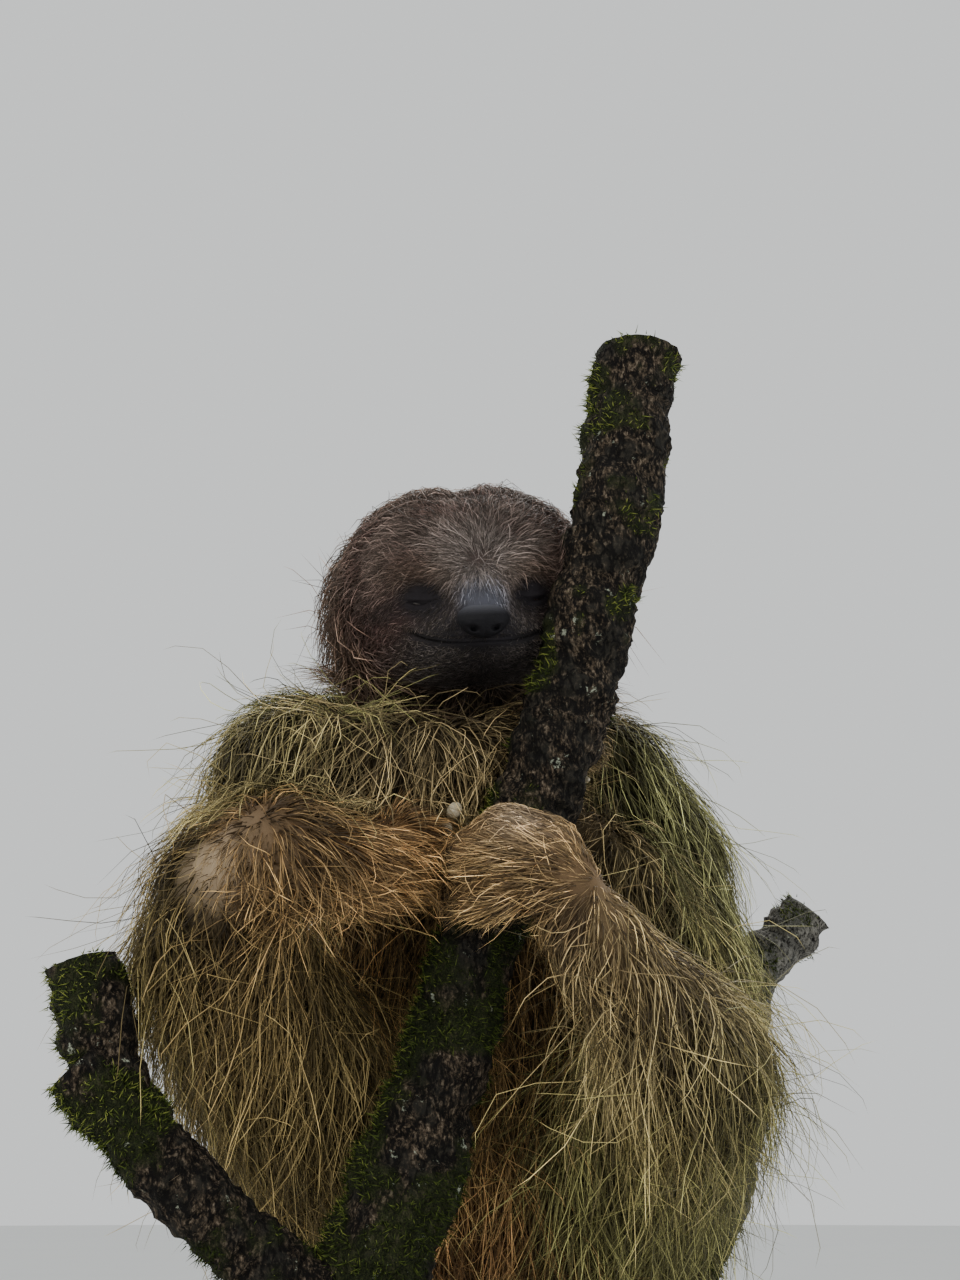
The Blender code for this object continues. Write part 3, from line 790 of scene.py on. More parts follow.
def feel(grid, points):
    """A grid's value at points inside it, mixed from the eight nearest grid corners."""
    spot = np.clip((points - LOWEST) / STEP, 0, CELLS - 1.001)
    cell = spot.astype(int)
    part = spot - cell
    total = 0
    for corner in np.ndindex(2, 2, 2):
        i, j, k = (cell + np.array(corner)).T
        total = total + np.prod(np.where(corner, part, 1 - part), -1) * grid[i, j, k]
    return total


WHORL = np.array((0.0014, -0.0440, 0.0048))

# Each region's length of coat (m), the colour at the roots and the colour at the tips.
COAT = {
    "chest": (0.026, (0.055, 0.038, 0.018), (0.25, 0.175, 0.085)),
    "belly": (0.040, (0.070, 0.040, 0.016), (0.35, 0.22, 0.090)),
    "tail": (0.022, (0.10, 0.060, 0.030), (0.36, 0.24, 0.12)),
    "neck": (0.030, (0.045, 0.032, 0.020), (0.22, 0.155, 0.085)),
    "upper_arm_right": (0.048, (0.044, 0.042, 0.016), (0.235, 0.225, 0.080)),
    "forearm_right": (0.042, (0.060, 0.044, 0.022), (0.44, 0.335, 0.165)),
    "hand_right": (0.020, (0.10, 0.068, 0.032), (0.42, 0.31, 0.15)),
    "upper_arm_left": (0.052, (0.048, 0.047, 0.019), (0.305, 0.300, 0.125)),
    "forearm_left": (0.040, (0.052, 0.044, 0.020), (0.315, 0.270, 0.110)),
    "hand_left": (0.018, (0.10, 0.068, 0.032), (0.40, 0.29, 0.15)),
    "thigh_right": (0.052, (0.075, 0.055, 0.025), (0.34, 0.255, 0.105)),
    "shin_right": (0.055, (0.080, 0.052, 0.024), (0.32, 0.225, 0.090)),
    "foot_right": (0.030, (0.19, 0.090, 0.036), (0.68, 0.42, 0.18)),
    "thigh_left": (0.050, (0.042, 0.042, 0.016), (0.26, 0.245, 0.090)),
    "shin_left": (0.055, (0.100, 0.072, 0.034), (0.45, 0.355, 0.150)),
    "foot_left": (0.0175, (0.24, 0.145, 0.075), (0.70, 0.475, 0.215)),
    "head": (0.018, (0.052, 0.030, 0.023), (0.235, 0.162, 0.116)),
}
REGIONS = list(COAT)
LENGTHS, ROOT_COLOURS, TIP_COLOURS = (np.array(column) for column in zip(*COAT.values()))
SHARE_FADE = 0.0065


def shares(points):
    """How much each region of the body has a say at each point: a share that falls off with the
    distance past that region's own flesh, made to add up to one."""
    x, y, z = points.T
    gaps = []
    for name in REGIONS:
        if name == "head":
            gaps.append(head_distance(points, False))
        else:
            gaps.append(bone_distance(x, y, z, flesh[name], WIDER.get(name, 1.0)))
    gaps = np.stack(gaps, 1)
    weight = np.exp(-((gaps - gaps.min(1, keepdims=True)) / SHARE_FADE) ** 2)
    return weight / weight.sum(1, keepdims=True)


def region_share(say, *names):
    """The summed share of some regions."""
    return sum(say[:, REGIONS.index(name)] for name in names)


def blend(first, second, share):
    """Between two colours, by a share for each point."""
    return first + (second - first) * share[:, None]


def inside(across, up):
    """1 well inside an oval and 0 well outside, where its rim is at a distance of one."""
    return 1 / (1 + np.exp(9 * (np.sqrt(across ** 2 + up ** 2) - 1)))


def crease_near(points, say):
    """How near a point is to the crease where the two feet meet, 0 to 1."""
    return region_share(say, "foot_left", "foot_right") * hill(points[:, 0] + 0.0118, 0.0042)


# A stain or a patch of painted shade is a row: where it is, its tip colour and how far that goes, its root
# colour and how far.

def face_stains_and_shade(points, head):
    """The whorl on the brow, pale brow, reddish cheeks and blotches, grey muzzle, mouth line, painted
    shade on the chin, grey bridge of the nose, dark rim of the nose pad and dark eye stripe."""
    x, y, z = head_local(points).T
    face = head * np.clip(-y / 0.012 - 0.4, 0, 1)
    across = np.abs(x)
    outward = across - EYE[0]
    stripe_level = EYE[2] - 0.25 * np.clip(outward, 0, 1)
    fore = face * hill(np.hypot(x - WHORL[0], z - WHORL[2]), 0.017)
    brow = face * hill(z - 0.0045, 0.0050) * hill(across - 0.020, 0.013)
    cheek = face * hill(across - 0.036, 0.012) * hill(z + 0.018, 0.016)
    blotch = 0.7 * (np.clip(1.6 * clouds(points, 0.009, 41) + 0.1, 0, 1) * head) * (1 - fore)
    muzzle = face * inside(x / 0.029, (z + 0.0255) / 0.0175)
    lips = face * (across < MOUTH_WIDE + 0.001) * hill(z - mouth_line(across), 0.0013)
    # Painted shade: the chin and a small spot at the middle of the mouth are painted dark.
    chin_shade = face * np.maximum(inside((x - 0.001) / 0.015, (z + 0.0345) / 0.0075),
                             inside(x / 0.0075, (z + 0.0215) / 0.0050))
    bridge = face * inside((x - 0.0008) / (0.0085 - 0.12 * np.clip(z + 0.004, -0.01, 0.01)),
                           (z + 0.0060) / 0.0085)
    nose_rim = face * inside(x / 0.0130, (z - NOSE[2] + 0.0035) / 0.0070)
    eye_patch = face * np.maximum(inside(outward / 0.0100, (z - EYE[2]) / 0.0070),
                                  0.6 * inside((outward - 0.010) / 0.0110, (z - stripe_level) / 0.0042))
    return face, [
        (fore, (0.31, 0.262, 0.210), 0.8, (0.075, 0.052, 0.040), 0.6),
        (brow, (0.30, 0.205, 0.135), 0.8, (0.110, 0.062, 0.036), 0.7),
        (cheek, (0.150, 0.080, 0.062), 0.8, (0.085, 0.036, 0.028), 0.8),
        (blotch, (0.155, 0.080, 0.058), 1, (0, 0, 0), 0),
        (muzzle, (0.22, 0.175, 0.135), 1, (0.038, 0.033, 0.032), 1),
        (lips, (0.05, 0.04, 0.036), 0.8, (0.008, 0.007, 0.007), 1),
        # Painted shade on the chin.
        (chin_shade, (0.050, 0.040, 0.037), 0.85, (0.018, 0.015, 0.015), 0.85),
        (bridge, (0.25, 0.235, 0.23), 1, (0.105, 0.102, 0.110), 1),
        (nose_rim, (0.040, 0.034, 0.033), 0.9, (0.022, 0.019, 0.020), 0.9),
        (eye_patch, (0.034, 0.028, 0.027), 0.95, (0.013, 0.011, 0.012), 0.97),
    ]


def body_stains_and_shade(points, say):
    """Pale knuckles, painted shade in the crease between the feet, orange low belly, green algae on the
    flanks, the left shin paler higher up, it and the left thigh darker and greener toward the outside,
    painted shade at the left wrist, and the pale patches and dark midline of the back."""
    x, y, z = points.T
    head = region_share(say, "head")
    low_belly = region_share(say, "belly") * ramp_down(z, 0.185, 0.03) * ramp_down(y, 0.035, 0.02)
    back = ramp_up(y, 0.045, 0.03) * (1 - head)
    patch = np.clip(3 * clouds(points, 0.030, 77) + 0.2, 0, 1)
    return [
        (near_spot(points, (0.0170, -0.1075, 0.2765), 0.0095),
         (0.95, 0.76, 0.54), 0.7, (0.60, 0.45, 0.31), 0.8),
        # Painted shade in the crease where the two feet meet.
        (crease_near(points, say), (0.070, 0.042, 0.022), 0.85, (0.022, 0.013, 0.008), 0.95),
        (low_belly, (0.46, 0.25, 0.105), 0.8, (0.14, 0.062, 0.026), 0.8),
        ((1 - head) * ramp_up(np.abs(x), 0.085, 0.030),
         (0.235, 0.220, 0.080), 0.6, (0.040, 0.040, 0.015), 0.6),
        (region_share(say, "shin_left") * ramp_up(z, 0.205, 0.030),
         (0.52, 0.42, 0.200), 1, (0.34, 0.235, 0.130), 0.8),
        (region_share(say, "shin_left", "thigh_left") * ramp_up(x, 0.058, 0.035),
         (0.170, 0.165, 0.060), 0.95, (0.055, 0.046, 0.020), 0.9),
        # Painted shade at the left wrist, where the paw meets the shin.
        (near_spot(points, (0.0322, -0.105, 0.2427), 0.0075, (0.8, 1.2, 1.3)),
         (0.100, 0.060, 0.036), 0.75, (0.034, 0.018, 0.012), 0.9),
        (0.6 * back * patch, (0.50, 0.44, 0.33), 1, (0, 0, 0), 0),
        (0.6 * back * (1 - patch) * hill(x, 0.020), (0.10, 0.075, 0.055), 1, (0, 0, 0), 0),
    ]


# Painted cool shade over the face: less red and green, a little more blue.
FACE_SHADE_TINT = np.array((0.84, 0.90, 1.06)) - 1


def markings(points):
    """Root and tip colour of the coat at each point: the region's own, then each stain and patch of
    painted shade over it, with soft mottling and painted cool shade over the face."""
    say = shares(points)
    root = say @ ROOT_COLOURS
    tip = say @ TIP_COLOURS
    face, stains_and_shade = face_stains_and_shade(points, region_share(say, "head"))
    for where, tip_overlay, tip_share, root_overlay, root_share in stains_and_shade + body_stains_and_shade(points, say):
        tip = blend(tip, np.array(tip_overlay), tip_share * where)
        root = blend(root, np.array(root_overlay), root_share * where)
    shade = (1 + 0.16 * clouds(points, 0.011, 31))[:, None] * (1 + face[:, None] * FACE_SHADE_TINT)
    return root * shade, tip * shade


def bald_shin(points):
    """How bald the skin is over the right ankle, 0 to 1."""
    return near_spot(points, (-0.0850, -0.112, 0.2600), 0.0185, (1.2, 1.0, 0.9))


def paint(piece, name, colours):
    """Paints a colour on each point of a piece."""
    rgba = np.concatenate([colours, np.ones((*colours.shape[:-1], 1))], -1).astype(np.float32)
    layer = piece.data.color_attributes.new(name, "FLOAT_COLOR", "POINT")
    layer.data.foreach_set("color", rgba.ravel())


skin_root, skin_tip = markings(skin_points)
bald = bald_shin(skin_points)
skin_paint = blend(0.55 * skin_root + 0.06 * skin_tip, np.array((0.47, 0.355, 0.230)), 0.9 * bald)
on_head = region_share(shares(skin_points), "head")
skin_paint = blend(skin_paint, 0.80 * skin_root + 0.03 * skin_tip, on_head)

skin_finish = Finish("skin")
skin_colour = skin_finish.painted("markings")
pores = skin_finish.grain(skin_finish.place(), 2400.0, 3.0)
creases = skin_finish.grain(skin_finish.place(), 420.0, 5.0)
skin_colour = skin_finish.mix(0.25 * creases, skin_colour, (0.02, 0.014, 0.011))
skin_material = skin_finish.close(skin_colour, 0.55 + 0.3 * pores,
                                  skin_finish.relief(pores + 0.6 * creases, 0.0004, 0.7), shine=0.12)
skin = surface_piece("skin", skin_points, [skin_tris], skin_material)
paint(skin, "markings", skin_paint)
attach(skin, "root")
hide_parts("head", *flesh)


# ---------------------------------------------------------------- moss
# Short yellow-green shoots in cushions on the wood, each a closed three-sided spike.

SHOOTS = 17000
SHOOT_THICK = 0.00028
MOSS_CLEAR = 0.010
dice = np.random.default_rng(20571)
seats = np.vstack(bark_seats)
seat_moss = moss_on(seats[:, :3], seats[:, 3:]) * (feel(skin_field, seats[:, :3]) > MOSS_CLEAR)
weight = seat_moss ** 1.5 / (seat_moss ** 1.5).sum()
chosen = dice.choice(len(seats), SHOOTS, p=weight)
seat, seat_out = seats[chosen, :3], seats[chosen, 3:]
shoot_root = seat + dice.normal(size=(SHOOTS, 3)) * 0.0005 - 0.0004 * seat_out
shoot_lean = unit(seat_out + 0.55 * dice.normal(size=(SHOOTS, 3)))
shoot_side = unit(np.cross(shoot_lean, dice.normal(size=(SHOOTS, 3))))
shoot_front = np.cross(shoot_lean, shoot_side)
shoot_tall = (0.0014 + 0.0034 * dice.random(SHOOTS) * seat_moss[chosen] ** 2)[:, None]
shoot_points = [shoot_root + SHOOT_THICK * (shoot_side * math.cos(turn) + shoot_front * math.sin(turn))
                for turn in (0, 2.1, 4.2)] + [shoot_root + shoot_lean * shoot_tall]
shoot_tris = np.array([(0, 1, 3), (1, 2, 3), (2, 0, 3), (2, 1, 0)])
shoot_faces = (4 * np.arange(SHOOTS)[:, None, None] + shoot_tris).reshape(-1, 3)
# Painted light: shoots that face up, and those on the left branch and high on the trunk, are painted
# lighter on top of their random tone.
sunny = np.clip(np.maximum(-0.105 - seat[:, 0], seat[:, 2] - 0.33) / 0.02, 0, 1)
sunlit = 0.40 + 0.60 * np.clip(0.4 + seat_out[:, 2] + sunny, 0, 1)
shoot_tone_and_light = dice.random(SHOOTS) ** (1.5 - 0.8 * sunny) * sunlit
moss_finish = Finish("moss")
moss_grain = moss_finish.grain(moss_finish.place(), 500.0, 3.0)
moss_tone_and_light = moss_finish.painted("tone", "Fac")
moss_colour = moss_finish.ramp(0.8 * moss_tone_and_light + 0.3 * moss_grain,
                               [(0.10, (0.008, 0.014, 0.005)), (0.42, (0.085, 0.115, 0.022)),
                                (0.90, (0.440, 0.460, 0.100))])
moss = surface_piece("perch_moss", np.stack(shoot_points, 1).reshape(-1, 3), [shoot_faces],
                     moss_finish.close(moss_colour, 0.75 + 0.2 * moss_grain, shine=0.1))
mark(moss, "tone", np.stack([0.35 * shoot_tone_and_light] * 3 + [shoot_tone_and_light], 1))
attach(moss, "root")


# ---------------------------------------------------------------- nose
# A bare, moist, dark pad with fine pebbled grain and two round nostrils that open forwards and
# down.

def egg(middle, radii, rows, around, mould):
    """A closed egg: latitude rows of a unit ball, moulded, then drawn out by three radii."""
    lat = np.linspace(-math.pi / 2, math.pi / 2, rows + 2)[1:-1]
    lon = np.linspace(0, 2 * math.pi, around, endpoint=False)
    ball = np.stack([np.cos(lat)[:, None] * np.cos(lon), np.cos(lat)[:, None] * np.sin(lon),
                     np.sin(lat)[:, None] + 0 * lon], -1).reshape(-1, 3)
    ball = np.vstack([ball, [0, 0, -1], [0, 0, 1]])
    points = mould(ball, ball * radii) @ HEAD_TURN.T + HEAD + HEAD_TURN @ np.array(middle)
    return points, tube_faces(rows, around)


def nose_mould(ball, points):
    """The pad is squared off, narrower below, and sunk at the nostrils."""
    x, y, z = points.T
    x = x * (1 - 0.16 * np.clip(-ball[:, 2], 0, 1)) * (1 + 0.12 * np.clip(ball[:, 2], 0, 1))
    front = ball[:, 1] < 0.2
    across, level = np.abs(x) - 0.0040, z + 0.0030 - 0.25 * (np.abs(x) - 0.0040)
    pit = front * hill(across, 0.0013) * hill(level, 0.0008)
    groove = front * hill(x, 0.0006) * np.clip(0.3 - ball[:, 2], 0, 1)
    rim = front * hill(across - 0.0012, 0.0014) * hill(level - 0.0012, 0.0010)
    y = y + 0.0030 * pit + 0.0005 * groove - 0.0004 * rim + 0.0058 * np.clip(ball[:, 2], 0, 1) ** 1.5
    y = y + 0.00012 * clouds(points, 0.0007, 3) * front
    return np.stack([x, y, z], 1)


nose_points, nose_faces = egg(NOSE, (0.0094, 0.0056, 0.0064), 64, 96, nose_mould)
pad = Finish("nose_skin_dark")
pad_pebbles = pad.node("TexVoronoi", {}, {"Vector": pad.place(), "Scale": 1500.0}, "Distance")
pad_cloud = pad.grain(pad.place(), 300.0)
pad_colour = pad.mix(pad_cloud, (0.004, 0.004, 0.005), (0.013, 0.012, 0.014))
# The top of the pad is painted a lighter bluish grey: partly the grey skin of the bridge running onto it,
# partly painted sheen.
pad_colour = pad.mix(pad.painted("upper", "Fac"), pad_colour,
                     (0.078, 0.079, 0.092))
nose = surface_piece("nose_pad", nose_points, nose_faces,
                     pad.close(pad_colour, 0.50 + 0.25 * pad_cloud, pad.relief(pad_pebbles, 0.0003, 0.4),
                               shine=0.1))
upper = np.clip((head_local(nose_points)[:, 2] - NOSE[2] - 0.0016) / 0.0042, 0, 1) ** 1.5
mark(nose, "upper", upper)
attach(nose, "root")
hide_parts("nose")


# ---------------------------------------------------------------- eyes
# Dark brown glossy balls set deep behind nearly closed lids, so that only a thin line shows.

eye_finish = Finish("eye_dark")
eye_cloud = eye_finish.grain(eye_finish.place(), 900.0)
eye_material = eye_finish.close(eye_finish.mix(eye_cloud, (0.010, 0.007, 0.006), (0.030, 0.018, 0.012)),
                                0.06 + 0.05 * eye_cloud)
for side_name, side in (("left", 1), ("right", -1)):
    eye_points, eye_faces = egg(EYE * (side, 1, 1), (EYE_RADIUS,) * 3, 40, 64, lambda ball, spot: spot)
    eye = surface_piece(f"eye_{side_name}_ball", eye_points, eye_faces, eye_material)
    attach(eye, "root")
    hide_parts(f"eye_{side_name}")


# ---------------------------------------------------------------- claws
# Long hooked claws of cream, faintly streaked horn, three to a paw, that curve round the trunk.

def trunk_at(height):
    """The trunk's middle and its direction at a height."""
    spots = np.array(BOUGH)[:, :3]
    middle = np.array([np.interp(height, spots[::-1, 2], spots[::-1, k]) for k in range(3)])
    above = np.array([np.interp(height + 0.01, spots[::-1, 2], spots[::-1, k]) for k in range(3)])
    return middle, unit(above - middle)


CLAW_WIDE = 0.0030
CLAW_FLAT = 0.72


def claw(middle, grain, radius, start, sweep):
    """A hook: ovals carried along an arc round the trunk, wide at the root and thin at the tip."""
    rows, around = 40, 20
    share = np.linspace(0, 1, rows)
    turn = np.radians(start + sweep * share)
    leftward = np.cross([0, 1, 0], grain)
    out = leftward * np.cos(turn)[:, None] + np.array([0, 1, 0]) * np.sin(turn)[:, None]
    path = middle + out * (radius + 0.0008 * np.sin(share * math.pi))[:, None]
    wide = CLAW_WIDE * np.sqrt(np.clip(1 - share ** 1.7, 0, 1)) * (0.85 + 0.15 * (1 - share))
    lon = np.linspace(0, 2 * math.pi, around, endpoint=False)
    ring = (out[:, None] * np.cos(lon)[None, :, None] * (CLAW_FLAT * wide)[:, None, None] * 1.15
            + grain * np.sin(lon)[None, :, None] * wide[:, None, None])
    points = np.vstack([(path[:, None] + ring)[:-1].reshape(-1, 3), path[0], path[-1]])
    return points, tube_faces(rows - 1, around)


horn = Finish("horn_cream")
horn_streaks = horn.grain(horn.stretched((1.0, 1.0, 3.0)), 500.0, 4.0)
horn_colour = horn.mix(horn.step(horn_streaks, 0.3, 0.75), (0.50, 0.42, 0.27), (0.66, 0.60, 0.46))
horn_material = horn.close(horn_colour, 0.30 + 0.22 * horn_streaks, horn.relief(horn_streaks, 0.0003, 0.4))
# Each paw's height on the trunk, the gap between its claws, their radius, and where they start and
# how far they sweep in degrees.
paws = {"foot_right": (0.2690, 0.0070, 0.0256, 190, -98), "foot_left": (0.2610, 0.0074, 0.0188, 214, -104),
        "hand_right": (0.3150, 0.0086, 0.0198, 80, -40), "hand_left": (0.2930, 0.0066, 0.0194, 84, 58)}
for paw, (height, pitch, radius, start, sweep) in paws.items():
    for k, finger in enumerate(("upper", "middle", "lower")):
        middle, grain = trunk_at(height + (1 - k) * pitch)
        claw_points, claw_faces = claw(middle, grain, radius, start, sweep)
        if sweep < 0:
            claw_faces = [part[:, ::-1] for part in claw_faces]
        piece = surface_piece(f"horn_{paw}_{finger}", claw_points, claw_faces, horn_material)
        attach(piece, "root")
        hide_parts(f"claw_{paw}_{finger}")


# ---------------------------------------------------------------- coat
# Coarse hair a few centimetres long, straw over brown, that leaves whorls at the brow, the ankles
# and the left heel and falls off the limbs in curtains, with short soft hair on face and feet.
# Each hair is a closed, three-sided, tapered blade.

ANKLE_WHORL_RIGHT = np.array((-0.070, -0.122, 0.270))
ANKLE_WHORL_LEFT = np.array((0.0385, -0.106, 0.2440))
HEEL_LEFT = np.array((0.0390, -0.1020, 0.2540))
BROW_WHORL = HEAD + HEAD_TURN @ WHORL
FOREARM_RIDGE = np.array((-0.022, -0.052, 0.345))
DOWN = np.array((0.0, 0.0, -1.0))

# For each region: a centre that hair leads away from, how strongly, and a steady pull besides.
LIES = {
    "chest": ((0, -0.03, 0.36), 0.4, (0, 0, -1.0)),
    "belly": ((0, 0.00, 0.33), 0.6, (0, 0, -1.0)),
    "tail": ((0, 0.06, 0.16), 0.8, (0, 0.2, -0.6)),
    "neck": ((-0.01, -0.01, 0.40), 0.7, (0, 0.1, -0.8)),
    "upper_arm_right": ((-0.03, 0.02, 0.37), 0.8, (-0.1, -0.15, -0.7)),
    "forearm_right": (FOREARM_RIDGE, 1.0, (0.05, -0.05, -0.45)),
    "hand_right": ((-0.02, -0.04, 0.33), 0.9, (0.2, 0, -0.5)),
    "upper_arm_left": ((0.03, 0.02, 0.37), 0.7, (0.1, -0.1, -0.8)),
    "forearm_left": ((0.05, -0.02, 0.30), 0.5, (0.1, -0.1, -0.9)),
    "hand_left": ((0.07, -0.02, 0.30), 0.8, (-0.1, -0.1, -0.6)),
    "thigh_right": ((-0.06, -0.03, 0.27), 0.45, (0.10, 0.0, -0.95)),
    "shin_right": (ANKLE_WHORL_RIGHT, 1.0, (-0.05, 0.0, -0.40)),
    "foot_right": (ANKLE_WHORL_RIGHT, 1.0, (0.15, 0.0, -0.22)),
    "thigh_left": ((0.04, -0.02, 0.25), 0.25, (-0.12, 0.0, -1.0)),
    "shin_left": (ANKLE_WHORL_LEFT, 0.8, (-0.10, 0.0, -0.95)),
    "foot_left": (HEEL_LEFT, 1.0, (-0.10, 0.0, -0.24)),
    "head": (BROW_WHORL, 1.0, (0.0, 0.05, -0.12)),
}


def lie_of(points, say):
    """Which way the coat lies at each point: away from each region's centre plus its pull,
    mixed by the regions' shares."""
    total = np.zeros_like(points)
    for k, name in enumerate(REGIONS):
        centre, strength, pull = LIES[name]
        gap = points - np.array(centre)
        near = 1 - np.exp(-(gap ** 2).sum(1, keepdims=True) / 0.005 ** 2)
        total += say[:, [k]] * (strength * near * unit(gap) + np.array(pull))
    x, _, z = head_local(points).T
    low_face = region_share(say, "head") * inside(x / 0.034, (z + 0.026) / 0.018)
    sideways = np.stack([1.3 * np.tanh(x / 0.008), 0 * x - 0.1, 0 * x - 0.3], 1)
    return total + low_face[:, None] * (sideways @ HEAD_TURN.T)


corner_a, corner_b, corner_c = (skin_points[skin_tris[:, k]] for k in range(3))
tri_cross = np.cross(corner_b - corner_a, corner_c - corner_a)
tri_area = np.linalg.norm(tri_cross, axis=1) / 2
tri_middle = (corner_a + corner_b + corner_c) / 3
tri_normal = unit(tri_cross)
tri_say = shares(tri_middle)


def sow(count, density):
    """Roots scattered over the skin, as many to each area as its density asks: points, outward
    directions and the regions' shares there."""
    weight = tri_area * np.clip(density, 0, None)
    chosen = dice.choice(len(tri_area), count, p=weight / weight.sum())
    u = np.sqrt(dice.random(count))[:, None]
    v = dice.random(count)[:, None]
    spot = (1 - u) * corner_a[chosen] + u * (1 - v) * corner_b[chosen] + u * v * corner_c[chosen]
    return spot, tri_normal[chosen], tri_say[chosen]


guard_field = np.minimum(skin_field, wood_field)
HAIR_STEPS = 10
ROOT_DEPTH = 0.0006
CENTIMETRE = 0.01
FREE_REACH = 0.004
FEEL_STEP = 0.0018


def grow(root, outward, lie, length, rise, lift, droop, curl, cling):
    """Hairs as runs of points.  Each leaves along the lie of the coat, tipped up by `lift`, and in
    each centimetre turns down by `droop` and waves by `curl`.  It is kept off skin and wood at a
    height that grows along it, and `cling` is how far it is drawn back to that height where it
    flies free."""
    along = unit(lie - outward * (lie * outward).sum(1, keepdims=True))
    second_curl = np.roll(curl, 1, axis=1) * [1, -1, 1]
    beat = dice.uniform(2.0, 5.0, len(root))[:, None]
    start = dice.uniform(0, 2 * math.pi, len(root))[:, None]
    heading = unit(along + outward * lift[:, None])
    points = [root - outward * ROOT_DEPTH]
    pace = (length / HAIR_STEPS)[:, None]
    for step in range(HAIR_STEPS):
        share = (step + 1) / HAIR_STEPS
        wave = curl * np.cos(start + beat * share) + second_curl * np.sin(start + beat * share)
        heading = unit(heading + pace / CENTIMETRE * (droop[:, None] * DOWN + wave))
        spot = points[-1] + heading * pace
        gap = feel(guard_field, spot)
        want = rise * (1 - math.exp(-3.2 * share))
        short = (want - gap)[:, None]
        short = np.where(short > 0, short, np.clip(short, -FREE_REACH, 0) * cling[:, None])
        if short.any():
            off = np.stack([feel(guard_field, spot + e) - feel(guard_field, spot - e)
                            for e in FEEL_STEP * np.eye(3)], -1)
            spot = spot + unit(off) * short
        heading = unit(0.35 * heading + 0.65 * unit(spot - points[-1]))
        points.append(spot)
    return np.stack(points, 1)


def strand_arrays(spine, width):
    """Three-sided blades: at each ring three points round the line of the hair, then one tip."""
    count, rings = spine.shape[0], spine.shape[1] - 1
    ahead = unit(np.gradient(spine, axis=1))
    helper = unit(dice.normal(size=(count, 1, 3)) + 0 * ahead)
    side = unit(np.cross(ahead, helper))
    front = np.cross(side, ahead)
    share = np.arange(rings) / rings
    taper = (1 - 0.55 * share ** 1.5)[None, :, None] * width[:, None, None] / 2
    points = []
    for turn in 2 * math.pi * np.arange(3) / 3:
        spoke = side[:, :-1] * math.cos(turn) + front[:, :-1] * math.sin(turn)
        points.append(spine[:, :-1] + spoke * taper)
    body = np.stack(points, 2).reshape(count, -1, 3)
    return np.concatenate([body, spine[:, -1:]], 1)


def strand_faces(count, rings):
    """Quads up the three sides, three faces at the tip and one that closes the root."""
    size = 3 * rings + 1
    quads = []
    for ring in range(rings - 1):
        for k in range(3):
            after = (k + 1) % 3
            quads.append((3 * ring + k, 3 * ring + after, 3 * ring + 3 + after, 3 * ring + 3 + k))
    last = 3 * (rings - 1)
    tris = [(last + k, last + (k + 1) % 3, size - 1) for k in range(3)] + [(2, 1, 0)]
    base = (np.arange(count) * size)[:, None, None]
    return (base + np.array(quads)).reshape(-1, 4), (base + np.array(tris)).reshape(-1, 3)


PATCH = 0.003
COLUMNS, ROWS = 6, 3
MARGIN, FILL = 0.03, 0.94


def unwrap(root, say):
    """Each root's place on an unwrap of the skin: a cell of a grid for each region of the body,
    where the height is the way along its flesh and the width is the angle round it."""
    region = say.argmax(1)
    place = np.zeros((len(root), 2))
    for k, name in enumerate(REGIONS):
        mine = region == k
        if not mine.any():
            continue
        if name == "head":
            local = head_local(root[mine])
            turn = np.arctan2(local[:, 0], -local[:, 1]) / (2 * math.pi) + 0.5
            climb = np.clip(local[:, 2] / 0.10 + 0.5, 0, 1)
        else:
            spots = np.array(flesh[name])[:, :3]
            axis = unit(spots[-1] - spots[0])
            offset = root[mine] - spots[0]
            long_way = np.linalg.norm(spots[-1] - spots[0])
            climb = np.clip((offset @ axis + 0.05) / (long_way + 0.10), 0, 1)
            side = unit(np.cross(axis, (0.3, 1.0, 0.2)))
            front = np.cross(axis, side)
            turn = np.arctan2(offset @ side, offset @ front) / (2 * math.pi) + 0.5
        place[mine, 0] = (k % COLUMNS + MARGIN + FILL * turn) / COLUMNS
        place[mine, 1] = (k // COLUMNS + MARGIN + FILL * climb) / ROWS
    return place


def strand_uv(rings, place):
    """The bake map: each hair is a patch a few thousandths across at its root's place, its width
    round the hair and its height from root to tip."""
    quad_uv = []
    for ring in range(rings - 1):
        for k in range(3):
            quad_uv.append([(k / 3, ring / rings), ((k + 1) / 3, ring / rings),
                            ((k + 1) / 3, (ring + 1) / rings), (k / 3, (ring + 1) / rings)])
    low = (rings - 1) / rings
    tri_uv = [[(k / 3, low), ((k + 1) / 3, low), ((k + 0.5) / 3, 1)] for k in range(3)]
    tri_uv.append([(0.6, 0.0), (0.3, 0.02), (0.0, 0.0)])
    quads = place[:, None, None] + PATCH * (np.array(quad_uv) - 0.5)
    tris = place[:, None, None] + PATCH * (np.array(tri_uv) - 0.5)
    return np.concatenate([quads.reshape(-1, 2), tris.reshape(-1, 2)])


hair_finish = Finish("coat_hair")
hair_colour = hair_finish.painted("hair")
hair_cloud = hair_finish.grain(hair_finish.place(), 700.0, 2.0)
hair_colour = hair_finish.mix(0.35 * hair_cloud, hair_colour, (0.10, 0.075, 0.045))
hair_material = hair_finish.close(hair_colour, 0.42 + 0.18 * hair_cloud, shine=0.22)

MOST_TRIANGLES = 190000


